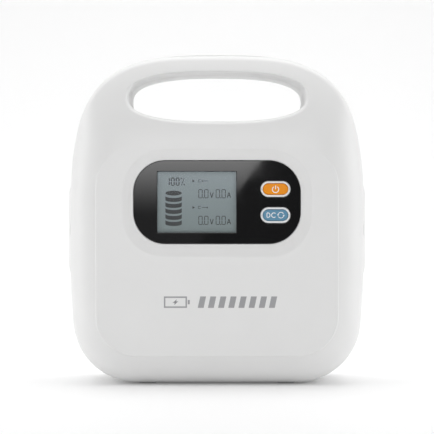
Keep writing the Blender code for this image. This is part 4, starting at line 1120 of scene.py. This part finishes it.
def cell_mark(x, z, half_width, thickness, sag):
    """One disc of the battery stack: straight sides between two curved edges."""
    turns = np.linspace(math.pi, math.tau, 15)
    lower = np.c_[x + half_width * np.cos(turns), z - thickness + sag * np.sin(turns)]
    upper = np.c_[x + half_width * np.cos(turns[::-1]), z + sag * np.sin(turns[::-1])]
    return [np.vstack([lower[i : i + 2], upper[13 - i : 15 - i]]) for i in range(14)]


def display_marks():
    """The display's bold marks and its fine ones."""
    width, height = SCREEN
    bold, fine = [], []
    figure_height = 0.12 * height
    left, base = on_screen(0.115, 0.225)
    step = 0.062 * width
    for i, which in enumerate("100"):
        bold += figure(left + i * step, base, 0.036 * width, figure_height, which, 0.7 * MM)
    slash = left + 3 * step + 0.2 * MM
    bold.append(bar(slash, base - 0.1 * MM, slash + 0.036 * width, base + figure_height, 0.4 * MM))
    for x, z in ((slash, base + figure_height - 0.4 * MM), (slash + 0.036 * width, base + 0.4 * MM)):
        bold.append(disc_mark(x, z, 0.45 * MM, 0.45 * MM, 14))

    stack_x, top = on_screen(0.206, 0.375)
    half = 0.104 * width
    sag = 0.032 * height
    bold.append(disc_mark(stack_x, top + 0.9 * MM, half, 1.25 * sag))
    pitch = 0.098 * height
    for i in range(5):
        bold += cell_mark(stack_x, top - 1.0 * MM - i * pitch, half, 0.066 * height, sag)

    for label_v, row_v, way in ((0.153, 0.43, 1), (0.588, 0.865, -1)):
        x, z = on_screen(0.46, label_v)
        pointer = [(x - 0.75 * MM, z - 0.95 * MM), (x + 0.8 * MM, z), (x - 0.75 * MM, z + 0.95 * MM)]
        bold.append(np.array(pointer))
        fine += flow_mark(*on_screen(0.52, label_v), way)
        for u, which in ((0.525, "figure"), (0.67, "volt"), (0.745, "figure"), (0.885, "amp")):
            x, z = on_screen(u, row_v)
            if which == "figure":
                tall = 0.135 * height
                fine += figure(x, z, 0.044 * width, tall, "0", 0.45 * MM)
                fine += figure(x + 0.074 * width, z, 0.044 * width, tall, "0", 0.45 * MM)
                fine.append(disc_mark(x + 0.0585 * width, z, 0.34 * MM, 0.34 * MM, 10))
            elif which == "volt":
                fine += strokes(x, z, 2.0 * MM, 3.6 * MM, ((0, 1, 0.5, 0), (0.5, 0, 1, 1)), 0.5 * MM)
            else:
                lines = ((0, 0, 0.5, 1), (0.5, 1, 1, 0), (0.2, 0.38, 0.8, 0.38))
                fine += strokes(x, z, 2.3 * MM, 3.6 * MM, lines, 0.5 * MM)
    return bold, fine


def strokes(x, z, width, height, lines, stroke):
    """Straight marks in a box with its lower left corner at X and Z, their ends in shares of its size."""
    return [bar(x + a * width, z + b * height, x + c * width, z + d * height, stroke) for a, b, c, d in lines]


def flow_mark(x, z, way):
    """A small socket outline with an arrow into it or out of it, in place of a printed word."""
    low = z - 0.75 * MM
    marks = [
        bar(x, low, x + 1.6 * MM, low, 0.28 * MM),
        bar(x, low + 1.5 * MM, x + 1.6 * MM, low + 1.5 * MM, 0.28 * MM),
        bar(x, low, x, low + 1.5 * MM, 0.28 * MM),
    ]
    start, end = (x + 6.2 * MM, x + 2.2 * MM) if way > 0 else (x + 2.2 * MM, x + 6.2 * MM)
    marks.append(bar(start, z, end, z, 0.32 * MM))
    head = 0.7 * MM * (1 if start > end else -1)
    marks.append(bar(end, z, end + head, z + 0.6 * MM, 0.3 * MM))
    marks.append(bar(end, z, end + head, z - 0.6 * MM, 0.3 * MM))
    return marks


def prints(name, outlines, depth, proud):
    """Printed marks: a thin closed prism on each outline, all in one mesh."""
    points, faces = [], []
    for outline in outlines:
        start, count = len(points), len(outline)
        points += front_map(outline, depth + proud).tolist() + front_map(outline, depth).tolist()
        ring = list(range(count))
        faces.append([start + i for i in ring])
        faces.append([start + count + i for i in reversed(ring)])
        for i in ring:
            j = (i + 1) % count
            faces.append([start + j, start + i, start + count + i, start + count + j])
    bm = bmesh_from(points, faces)
    bmesh.ops.recalc_face_normals(bm, faces=bm.faces)
    return thing(name, mesh_from(name, bm))


def build_button(name, level, finish):
    """A pill-shaped cap with a flange behind the panel.

    Its stem isn't joined: the cap's mesh is open at two tips, and Blender refuses the Boolean.
    """
    soft = bpy.context.scene.station_buttons.edge
    cap = moved(pill(0.0), CAP_X, level)
    levels = [(CAP_FRONT, 2.6 * soft), (CAP_FRONT + 0.015 * MM, 1.7 * soft)]
    for step in range(7):
        turn = math.pi / 2 * (6 - step) / 6
        depth = CAP_FRONT + 0.7 * soft * (1 - math.sin(turn)) + 0.03 * MM
        levels.append((depth, soft * (1 - math.cos(turn))))
    flange = SEAT_BACK + GAP
    levels += [(flange, 0.0), (flange, -RING_WIDTH), (flange + 1 * MM, -RING_WIDTH)]
    made = layered(f"{name}_button", cap, levels)
    stem = rod("stem", (CAP_X, flange + 0.5 * MM, level), (CAP_X, flange + 3.6 * MM, level), 2 * MM)
    carve(made, "UNION", [stem])
    slot = f"button_{finish}"
    finish_piece(made, f"{name}_button", slot, finishes()[slot], f"{name}_button")
    if name == "power":
        marks = ring_mark(CAP_X, level - 0.25 * MM, 2.05 * MM, 0.55 * MM, -235, 55)
        marks.append(bar(CAP_X, level - 0.2 * MM, CAP_X, level + 2.4 * MM, 0.55 * MM))
    else:
        marks = dc_marks(CAP_X, level)
    mark = prints(f"{name}_mark", marks, CAP_FRONT, -0.04 * MM)
    finish_piece(mark, f"{name}_button", "light_white", finishes()["mark_white"])


def dc_marks(x, z):
    """The letters D and C, and a ring of two arrows."""
    height, stroke = 3.0 * MM, 0.5 * MM
    base = z - height / 2
    left = x - 5.6 * MM
    marks = [bar(left, base, left, base + height, stroke)]
    for end in (0, height):
        marks.append(bar(left, base + end, left + 0.8 * MM, base + end, stroke))
    marks += ring_mark(left + 0.5 * MM, z, height / 2, stroke, -90, 90, 14)
    marks += ring_mark(left + 4.5 * MM, z, height / 2, stroke, 45, 315, 20)
    middle = x + 3.5 * MM
    radius = 1.85 * MM
    for turn in (0, 180):
        marks += ring_mark(middle, z, radius, 0.42 * MM, turn + 30, turn + 160, 12)
        at = math.radians(turn + 165)
        tip = np.array([middle, z]) + radius * np.array([math.cos(at), math.sin(at)])
        ahead = np.array([-math.sin(at), math.cos(at)])
        out = np.array([math.cos(at), math.sin(at)])
        marks.append(np.array([tip - 0.7 * MM * out, tip + 0.7 * MM * out, tip + 0.9 * MM * ahead]))
    return marks


def build_ring(name, level):
    """The white rim round a cap, a little proud of the panel."""
    outer = moved(pill(CAP_CLEARANCE + RING_WIDTH), CAP_X, level)
    inner = moved(pill(CAP_CLEARANCE), CAP_X, level)
    ring = slab(f"{name}_button_ring", outer, [inner], RING_FRONT, LENS_BACK, 0.4 * MM)
    finish_piece(ring, "case", "light_white", finishes()["light_white"], f"{name}_button_ring")


def build_case_print():
    """A generic row of marks on the front: a battery with a bolt and a charge bar of eight cells."""
    base, height, stroke = 51.2 * MM, 7.4 * MM, 0.95 * MM
    left, right = -34.5 * MM, -19.5 * MM
    top = base + height
    middle = base + height / 2
    frame_bars = (
        (left, base, right, base + stroke),
        (left, top - stroke, right, top),
        (left, base + stroke, left + stroke, top - stroke),
        (right - stroke, base + stroke, right, top - stroke),
        (right + 0.5 * MM, middle - 1.4 * MM, right + 1.8 * MM, middle + 1.4 * MM),
    )
    marks = [np.array([(x0, z0), (x1, z0), (x1, z1), (x0, z1)]) for x0, z0, x1, z1 in frame_bars]
    x = (left + right) / 2
    for way, tip in ((1, top - 1.8 * MM), (-1, base + 1.8 * MM)):
        z = middle - way * 0.5 * MM
        marks.append(np.array([(x + way * 0.9 * MM, tip), (x - way * 1.9 * MM, z), (x + way * 0.2 * MM, z)]))
    cell, lean, pitch = 3.8 * MM, 1.6 * MM, 6.6 * MM
    for i in range(8):
        x = -12.5 * MM + i * pitch
        marks.append(np.array([(x, base), (x + cell, base), (x + cell + lean, top), (x + lean, top)]))
    mark = prints("case_print", marks, -HALF_DEPTH, -0.03 * MM)
    finish_piece(mark, "case", "bay_black", finishes()["mark_grey"])


# ------------------------------------------------------------------ side doors and ports


def build_door(name, side):
    """A crowned door with its hinge knuckle, catch and seal."""
    place = side_map(side)
    inner = BAY_FLOOR + GAP
    edge = HALF_WIDTH - 0.1 * MM
    outline = rounded_rectangle(DOOR_FRONT + HINGE_Y, DOOR_HEIGHT, DOOR_RADIUS, 16)
    outline = moved(outline, (HINGE_Y - DOOR_FRONT) / 2, DOOR_LEVEL)
    levels = [(inner, 0.3 * MM), (inner + 0.1 * MM, 0.1 * MM), (inner + 0.3 * MM, 0.0)]
    levels += [(edge - 0.4 * MM, 0.0), (edge - 0.2 * MM, 0.06 * MM), (edge - 0.04 * MM, 0.22 * MM)]
    for share in (0.06, 0.12, 0.2, 0.3, 0.42, 0.55, 0.7, 0.85, 1.0):
        levels.append((edge + (DOOR_CROWN + 0.1 * MM) * (1 - (1 - share) ** 1.6), 7.8 * MM * share))
    made = layered(name, outline, levels, place)
    reach = DOOR_HEIGHT / 2 - LUG
    notches = []
    x_low, x_high = sorted((side * (HINGE_X - 5 * MM), side * (HINGE_X + 8 * MM)))
    for end in (-1, 1):
        z_low, z_high = sorted((DOOR_LEVEL + end * reach, DOOR_LEVEL + end * DOOR_HEIGHT))
        notches.append(block("notch", (x_low, HINGE_Y - 3.4 * MM, z_low), (x_high, HINGE_Y + 5 * MM, z_high)))
    carve(made, "DIFFERENCE", notches)
    knuckle = hinge_rod("knuckle", side, reach, KNUCKLE, 64)
    x_low, x_high = sorted((side * (inner - 2 * MM), side * (inner + 0.5 * MM)))
    front = -DOOR_FRONT + 1 * MM
    low = (x_low, front, DOOR_LEVEL - 4 * MM)
    catch = block("catch", low, (x_high, front + 1.5 * MM, DOOR_LEVEL + 4 * MM))
    carve(made, "UNION", [knuckle, catch])
    carve(made, "DIFFERENCE", [hinge_rod("bore", side, PIN_REACH - 0.5 * MM, PIN_HOLE)])
    finish_piece(made, name, "case_white", finishes()["case_white"], name, sharp=30.0)

    outline = moved(rounded_rectangle(BAY[0] - 2 * MM, BAY[1] - 2 * MM, 3 * MM, 8), BAY_Y, DOOR_LEVEL)
    inside = offset(outline, -1.3 * MM)
    seal = slab(f"{name}_seal", outline, [inside], inner - 1.3 * MM, inner, 0.35 * MM, place)
    finish_piece(seal, name, "bay_black", finishes()["bay_black"])


def circle(radius, steps=64):
    turns = np.linspace(0, math.tau, steps, endpoint=False)
    return np.c_[radius * np.cos(turns), radius * np.sin(turns)]


def port_outline(size, grown, stadium):
    radius = size[1] / 2 if stadium else 0.6 * MM
    return rounded_rectangle(size[0] + 2 * grown, size[1] + 2 * grown, radius + grown, 8)


USB_A = (13.1 * MM, 5.7 * MM, 14.0 * MM)
USB_C = (9.2 * MM, 3.5 * MM, 8.5 * MM)
USB_PORTS = (
    ("usb_a_port_1", USB_A, BAY_Y - USB_A_SPACING / 2, USB_A_LEVEL, False),
    ("usb_a_port_2", USB_A, BAY_Y + USB_A_SPACING / 2, USB_A_LEVEL, False),
    ("usb_c_port", USB_C, BAY_Y, USB_C_LEVEL, True),
)


def build_port_plates():
    outline = moved(rounded_rectangle(BAY[0] + 6 * MM, BAY[1] + 6 * MM, 3 * MM, 6), BAY_Y, DOOR_LEVEL)
    holes = [moved(circle(CAR_HOLE), BAY_Y, CAR_LEVEL)]
    for _, size, y, level, stadium in USB_PORTS:
        holes.append(moved(port_outline(size, GAP, stadium), y, level))
    jack_holes = [moved(circle(JACK_HOLE, 48), BAY_Y, level) for level in JACK_LEVELS]
    for name, side, openings in (("output", 1, holes), ("input", -1, jack_holes)):
        name = f"{name}_port_plate"
        back = PLATE_FACE - PORT_PLATE
        plate = slab(name, outline, openings, PLATE_FACE, back, 0.25 * MM, side_map(side))
        finish_piece(plate, "case", "bay_black", finishes()["bay_black"], name)


def build_usb_ports():
    """Folded steel shells with a moulded tongue and gilt contacts."""
    place = side_map(1)
    face = PLATE_FACE + GAP
    made = finishes()
    wall = 0.4 * MM
    for name, size, y, level, stadium in USB_PORTS:
        outer = moved(port_outline(size, 0, stadium), y, level)
        back = face - size[2]
        mouth = moved(port_outline(size, -wall, stadium), y, level)
        tube = slab(name, outer, [mouth], face, back, 0.12 * MM, place)
        finish_piece(tube, "case", "steel", made["steel"], name)
        inside = port_outline(size, -wall - 0.02 * MM, stadium)
        tongue_size = (size[0] - 2.4 * MM, 0.7 * MM if stadium else 1.8 * MM)
        shift = 0.0 if stadium else 0.6 * MM
        tongue = moved(rounded_rectangle(*tongue_size, 0.2 * MM, 3), y, level + shift)
        floor = slab("floor", moved(inside, y, level), (), back + 1.5 * MM, back, 0, place)
        blade = slab("blade", tongue, (), face - 0.9 * MM, back + 0.5 * MM, 0.15 * MM, place)
        core = joined(f"{name}_tongue", [floor, blade])
        finish_piece(core, "case", "bay_black", made["bay_black"])
        count, pitch = (6, 0.9 * MM) if stadium else (4, 2.3 * MM)
        half = 0.25 * MM if stadium else 0.5 * MM
        under = level + shift - tongue_size[1] / 2
        strips = []
        for i in range(count):
            middle = y + (i - (count - 1) / 2) * pitch
            low = (back + 2 * MM, middle - half, under - 0.12 * MM)
            strips.append(block("strip", low, (face - 1.6 * MM, middle + half, under + 0.05 * MM)))
        finish_piece(joined(f"{name}_contacts", strips), "case", "steel", made["brass"])


def turn_side(side, x, level):
    """Stands a turned piece's axis along X, its face outwards, at a level in the bay."""
    turn = Matrix.Rotation(side * math.pi / 2, 4, "Y")
    return Matrix.Translation((side * x, BAY_Y, level)) @ turn


def build_jacks():
    made = finishes()
    face = PLATE_FACE + 1.4 * MM
    rim, barrel, depth, length = 5.6 * MM, 4.6 * MM, 9 * MM, 13 * MM
    back = PLATE_FACE + GAP - face
    names = ("dc_input_jack", "dc_output_jack_1", "dc_output_jack_2")
    sizes = ((3.95 * MM, 0.5 * MM), (2.8 * MM, 1.25 * MM), (2.8 * MM, 1.25 * MM))
    for name, level, (socket, pin) in zip(names, JACK_LEVELS, sizes):
        soft = 0.45 * MM
        profile = [(0.0, -depth), (socket, -depth), (socket, -soft)]
        profile += arc((socket + soft, -soft), soft, 180, 90)
        profile += arc((rim - soft, -soft), soft, 90, 0)
        profile += [(rim, back), (barrel, back), (barrel, -length), (0.0, -length)]
        body = lathe(name, profile, turn_side(-1, face, level), 48)
        finish_piece(body, "case", "bay_black", made["bay_black"], name)
        tip = -1.5 * MM
        soft, foot = 0.3 * pin, -depth - 0.5 * MM
        profile = [(0.0, tip), *arc((pin - soft, tip - soft), soft, 90, 0), (pin, foot), (0.0, foot)]
        post = lathe(f"{name}_pin", profile, turn_side(-1, face, level), 32)
        finish_piece(post, "case", "steel", made["steel"])


def build_car_socket():
    made = finishes()
    bore, wall, rim, thick, deep = 10.5 * MM, 1.2 * MM, 13.4 * MM, 1.4 * MM, 38 * MM
    face = PLATE_FACE + GAP + thick
    outer = bore + wall
    soft = 0.5 * MM
    place = turn_side(1, face, CAR_LEVEL)
    profile = [(outer, -deep), (bore, -deep), (bore, -20 * MM), (bore + 0.25 * MM, -19.6 * MM)]
    profile += [(bore + 0.25 * MM, -17.4 * MM), (bore, -17 * MM), (bore, -soft)]
    profile += arc((bore + soft, -soft), soft, 180, 90) + arc((rim - soft, -soft), soft, 90, 0)
    profile += [(rim, -thick), (outer, -thick), (outer, -deep)]
    barrel = lathe("car_socket_barrel", profile, place, 96)
    finish_piece(barrel, "case", "steel", made["steel"], "car_socket_barrel")
    inner, body_outer = outer + GAP, outer + GAP + 1.2 * MM
    front, floor, hole = -thick - 2 * GAP - PORT_PLATE, -deep - GAP, 3.8 * MM
    profile = [(body_outer, front), (body_outer, floor - 2 * MM), (hole, floor - 2 * MM), (hole, floor)]
    profile += [(inner, floor), (inner, front), (body_outer, front)]
    body = lathe("car_socket_body", profile, place, 72)
    finish_piece(body, "case", "bay_black", made["bay_black"], "car_socket_body")
    radius, tip = 3.5 * MM, floor + 6 * MM
    profile = [(0.0, tip), (0.5 * radius, tip - 0.15 * MM)]
    profile += arc((radius - 1.4 * MM, tip - 1.6 * MM), 1.4 * MM, 80, 0)
    profile += [(radius, floor - 4 * MM), (0.0, floor - 4 * MM)]
    contact = lathe("car_socket_contact", profile, place, 48)
    finish_piece(contact, "case", "steel", made["brass"], "car_socket_contact")


# ------------------------------------------------------------------ feet and screws


def build_feet():
    """Four rubber feet, with a ring moulded into each sole."""
    radius, top = 6 * MM, 1.8 * MM
    profile = [(0.0, 0.35 * MM), (3.4 * MM, 0.35 * MM), (3.8 * MM, 0.0), (radius - 0.7 * MM, 0.0)]
    profile += arc((radius - 0.5 * MM, 0.5 * MM), 0.5 * MM, -90, 0) + [(radius, top), (0.0, top)]
    foot = lathe("foot", profile, Matrix.Identity(4), 48)
    made = copies("feet", foot, [(x, y, 0) for x, y in FEET], finishes()["foot_rubber"])
    finish_piece(made, "case", "foot_rubber", finishes()["foot_rubber"], *[f"foot_{i}" for i in range(1, 5)])


def build_screws():
    """Four pan-head screws with a cross recess, each turned its own way in its well."""
    radius, head, shank, length = 2.8 * MM, 2.2 * MM, 1.5 * MM, -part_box("case_screw_1")[0].y + SCREW_SEAT
    profile = [(0.0, head), (1.2 * MM, head - 0.05 * MM)]
    profile += arc((radius - 1.3 * MM, head - 1.4 * MM), 1.3 * MM, 85, 0)
    profile += [(radius, 0.0), (shank, 0.0)]
    turns = int((length - 1.2 * MM) / (0.6 * MM))
    for i in range(turns):
        profile += [(shank, -0.6 * MM * i - 0.4 * MM), (shank - 0.22 * MM, -0.6 * MM * i - 0.6 * MM)]
    profile += [(shank - 0.5 * MM, -length + 0.3 * MM), (0.0, -length)]
    screw = lathe("screw", profile, Matrix.Rotation(-math.pi / 2, 4, "X"), 32)
    deep = head - 1.2 * MM
    for size in ((1.7 * MM, 0.35 * MM), (0.35 * MM, 1.7 * MM)):
        slot = block("slot", (-size[0], deep, -size[1]), (size[0], head + 1 * MM, size[1]))
        carve(screw, "DIFFERENCE", [slot])
    places = [(x, SCREW_SEAT, z) for x, z in SCREWS]
    made = copies("case_screws", screw, places, finishes()["steel"], math.pi / 2, 7)
    names = [f"case_screw_{i}" for i in range(1, 5)]
    finish_piece(made, "case", "steel", finishes()["steel"], *names, sharp=30.0)


def finish_inner_parts():
    """Gives every piece of the frame that is still shown the finish of its material slot."""
    made = finishes()
    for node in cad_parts.values():
        if node.hide_render:
            continue
        slot = node.data.materials[0].name
        node.data.materials.clear()
        node.data.materials.append(made[slot])


# ------------------------------------------------------------------ stage


def lamp(name, size, power, place, target):
    """A rectangular soft light of a size and a power in watts, turned to its target."""
    data = bpy.data.lights.new(name, "AREA")
    data.shape = "RECTANGLE"
    data.size, data.size_y = size
    data.energy = power
    obj = bpy.data.objects.new(name, data)
    bpy.context.scene.collection.objects.link(obj)
    way = Vector(target) - Vector(place)
    obj.matrix_world = Matrix.Translation(place) @ way.to_track_quat("-Z", "Y").to_matrix().to_4x4()
    obj.visible_camera = False
    return obj


def fade_node(tree, bottom, top, low, high):
    """A soft step from a low to a high value between two values of its input."""
    fade = tree.nodes.new("ShaderNodeMapRange")
    fade.interpolation_type = "SMOOTHSTEP"
    for socket, value in zip(("From Min", "From Max", "To Min", "To Max"), (bottom, top, low, high)):
        fade.inputs[socket].default_value = value
    return fade


def front_card():
    """A large slanted card high in front, which fades towards its foot. The lens mirrors its edge."""
    along, across = 1.1, 0.5
    foot, slant, distance = Vector((-0.033, 0.060)), math.radians(53.3), 2.04
    way = Vector((math.cos(slant), math.sin(slant)))
    out = Vector((-way.y, way.x))
    centre = foot + way * (along / 2 - 0.25) + out * across / 2
    card = lamp("front_card", (across, along), 8.0, (centre.x, -distance, centre.y), (centre.x, 0, centre.y))
    card.matrix_world = card.matrix_world @ Matrix.Rotation(slant - math.pi / 2, 4, "Z")
    card.data.use_nodes = True
    tree = card.data.node_tree
    emission = tree.nodes["Emission"]
    place = tree.nodes.new("ShaderNodeNewGeometry")
    split = tree.nodes.new("ShaderNodeSeparateXYZ")
    fade = fade_node(tree, 0.11, 0.25, 0.035, 1.0)
    tree.links.new(place.outputs["Position"], split.inputs["Vector"])
    tree.links.new(split.outputs["Z"], fade.inputs["Value"])
    tree.links.new(fade.outputs["Result"], emission.inputs["Strength"])


def studio_world():
    """White all round, darker straight ahead of the front so that the lens stays black."""
    world = bpy.data.worlds.new("studio")
    world.use_nodes = True
    tree = world.node_tree
    tree.nodes["Background"].inputs["Color"].default_value = (1, 1, 1, 1)
    place = tree.nodes.new("ShaderNodeTexCoord")
    ahead = tree.nodes.new("ShaderNodeVectorMath")
    ahead.operation = "DOT_PRODUCT"
    ahead.inputs[1].default_value = (0, -1, 0)
    fade = fade_node(tree, 0.15, 0.92, 0.95, 0.1)
    tree.links.new(place.outputs["Generated"], ahead.inputs[0])
    tree.links.new(ahead.outputs["Value"], fade.inputs["Value"])
    tree.links.new(fade.outputs["Result"], tree.nodes["Background"].inputs["Strength"])
    bpy.context.scene.world = world


def floor_paper(colour):
    """The floor's paper, with painted shade that makes it darker in front of the station, and a faint painted
    glow of its own.
    """
    shader = Shader("floor", colour, 0.6)
    split = shader.add("ShaderNodeSeparateXYZ")
    shader.link(shader.place, split, "Vector")
    # painted shade: the paper in front of the station is darker, so it throws less light up at the case
    behind = shader.spread(split.outputs["Y"], 0, 1, -0.6, 0.1)
    near = [c * 0.72 for c in colour]
    shader.link(shader.mix(behind, near, colour), shader.main, "Base Color")
    # painted glow: the paper gives off a faint light though it is no lamp
    shader.main.inputs["Emission Color"].default_value = (1, 1, 1, 1)
    shader.main.inputs["Emission Strength"].default_value = 0.06
    return shader.material


def build_stage():
    stage = bpy.context.scene.station_stage
    patches = Patches()
    reach, back, height = 3.0, 1.6, 3.0
    bend = 0.8
    section = [(-reach, 0.0), (back - bend, 0.0)]
    for turn in np.linspace(0, math.pi / 2, 24):
        section.append((back - bend + bend * math.sin(turn), bend - bend * math.cos(turn)))
    section += [(back, height)]
    points = [(x, y, z) for y, z in section for x in (-reach, reach)]
    faces = [(2 * i, 2 * i + 1, 2 * i + 3, 2 * i + 2) for i in range(len(section) - 1)]
    patches.add(points, faces)
    sweep = patches.object("floor")
    sweep.data.shade_smooth()
    sweep.data.materials.append(floor_paper(stage.floor))

    middle = (0, 0, 0.11)
    lamp("overhead", (1.4, 1.4), 5.0, (0, 0.2, 1.5), middle)
    lamp("backdrop", (3.0, 1.0), 14.0, (0, 0.6, 2.4), (0, 1.5, 0.5))
    for side in (-1, 1):
        lamp("side", (1.0, 1.2), 5.0, (side * 1.3, -0.3, 0.5), middle)
    front_card()
    studio_world()
    bpy.context.scene.view_settings.view_transform = "Standard"

    camera = bpy.data.objects.new("camera", bpy.data.cameras.new("camera"))
    bpy.context.scene.collection.objects.link(camera)
    camera.data.lens = stage.lens
    camera.data.sensor_width = 36.0
    camera.data.clip_start = 0.05
    camera.location = (0, -stage.distance, stage.level)
    camera.rotation_euler = (math.pi / 2, 0, 0)
    bpy.context.scene.camera = camera


# ------------------------------------------------------------------ operators


class Piece:
    """What the operators of this add-on share."""

    bl_options = {"REGISTER", "UNDO"}

    def execute(self, context):
        self.make()
        return {"FINISHED"}


class STATION_OT_front_shell(Piece, bpy.types.Operator):
    """Make the front shell with its recess and raised plate"""

    bl_idname = "station.front_shell"
    bl_label = "Front shell"

    def make(self):
        build_shell("front_shell", -1)


class STATION_OT_rear_shell(Piece, bpy.types.Operator):
    """Make the rear shell with its screw wells"""

    bl_idname = "station.rear_shell"
    bl_label = "Rear shell"

    def make(self):
        build_shell("rear_shell", 1)


class STATION_OT_fascia(Piece, bpy.types.Operator):
    """Make the black lens of the control panel"""

    bl_idname = "station.fascia"
    bl_label = "Control panel lens"

    def make(self):
        build_fascia()


class STATION_OT_display(Piece, bpy.types.Operator):
    """Make the display, its window and its segments"""

    bl_idname = "station.display"
    bl_label = "Display"

    def make(self):
        build_display()


class STATION_OT_buttons(Piece, bpy.types.Operator):
    """Make both push buttons, their rims and their marks"""

    bl_idname = "station.buttons"
    bl_label = "Buttons"

    def make(self):
        for name, level, finish in (("power", CAP_LEVELS[0], "orange"), ("dc", CAP_LEVELS[1], "blue")):
            build_button(name, level, finish)
            build_ring(name, level)


class STATION_OT_case_print(Piece, bpy.types.Operator):
    """Print the generic row of marks on the front"""

    bl_idname = "station.case_print"
    bl_label = "Case print"

    def make(self):
        build_case_print()


class STATION_OT_doors(Piece, bpy.types.Operator):
    """Make the hinged port doors and their seals"""

    bl_idname = "station.doors"
    bl_label = "Port doors"

    def make(self):
        build_door("output_door", 1)
        build_door("input_door", -1)


class STATION_OT_ports(Piece, bpy.types.Operator):
    """Make the port plates and the sockets in them"""

    bl_idname = "station.ports"
    bl_label = "Ports"

    def make(self):
        build_port_plates()
        build_usb_ports()
        build_jacks()
        build_car_socket()


class STATION_OT_feet(Piece, bpy.types.Operator):
    """Make the rubber feet"""

    bl_idname = "station.feet"
    bl_label = "Feet"

    def make(self):
        build_feet()


class STATION_OT_screws(Piece, bpy.types.Operator):
    """Make the case screws"""

    bl_idname = "station.screws"
    bl_label = "Case screws"

    def make(self):
        build_screws()


class STATION_OT_inner_parts(Piece, bpy.types.Operator):
    """Finish the cells, boards, leads and other pieces inside"""

    bl_idname = "station.inner_parts"
    bl_label = "Inner parts"

    def make(self):
        finish_inner_parts()


class STATION_OT_stage(Piece, bpy.types.Operator):
    """Set up the floor, the lights and the camera"""

    bl_idname = "station.stage"
    bl_label = "Stage"

    def make(self):
        build_stage()


OPERATORS = (
    STATION_OT_front_shell,
    STATION_OT_rear_shell,
    STATION_OT_fascia,
    STATION_OT_display,
    STATION_OT_buttons,
    STATION_OT_case_print,
    STATION_OT_doors,
    STATION_OT_ports,
    STATION_OT_feet,
    STATION_OT_screws,
    STATION_OT_inner_parts,
    STATION_OT_stage,
)
SETTINGS = {
    "station_case": CaseSettings,
    "station_panel": PanelSettings,
    "station_buttons": ButtonSettings,
    "station_stage": StageSettings,
}


class STATION_PT_panel(bpy.types.Panel):
    """Sizes, colours and the steps that build the station"""

    bl_idname = "STATION_PT_panel"
    bl_label = "Power station"
    bl_space_type = "VIEW_3D"
    bl_region_type = "UI"
    bl_category = "Power station"

    def draw(self, context):
        for name, group in SETTINGS.items():
            box = self.layout.box()
            settings = getattr(context.scene, name)
            for key in group.__annotations__:
                box.prop(settings, key)
        for operator in OPERATORS:
            self.layout.operator(operator.bl_idname)


def register():
    for group in SETTINGS.values():
        bpy.utils.register_class(group)
    for operator in OPERATORS:
        bpy.utils.register_class(operator)
    bpy.utils.register_class(STATION_PT_panel)
    for name, group in SETTINGS.items():
        setattr(bpy.types.Scene, name, PointerProperty(type=group))


def unregister():
    for name in SETTINGS:
        delattr(bpy.types.Scene, name)
    bpy.utils.unregister_class(STATION_PT_panel)
    for operator in reversed(OPERATORS):
        bpy.utils.unregister_class(operator)
    for group in reversed(list(SETTINGS.values())):
        bpy.utils.unregister_class(group)


def main():
    register()
    for operator in OPERATORS:
        folder, name = operator.bl_idname.split(".")
        getattr(getattr(bpy.ops, folder), name)()


if __name__ == "__main__":
    main()
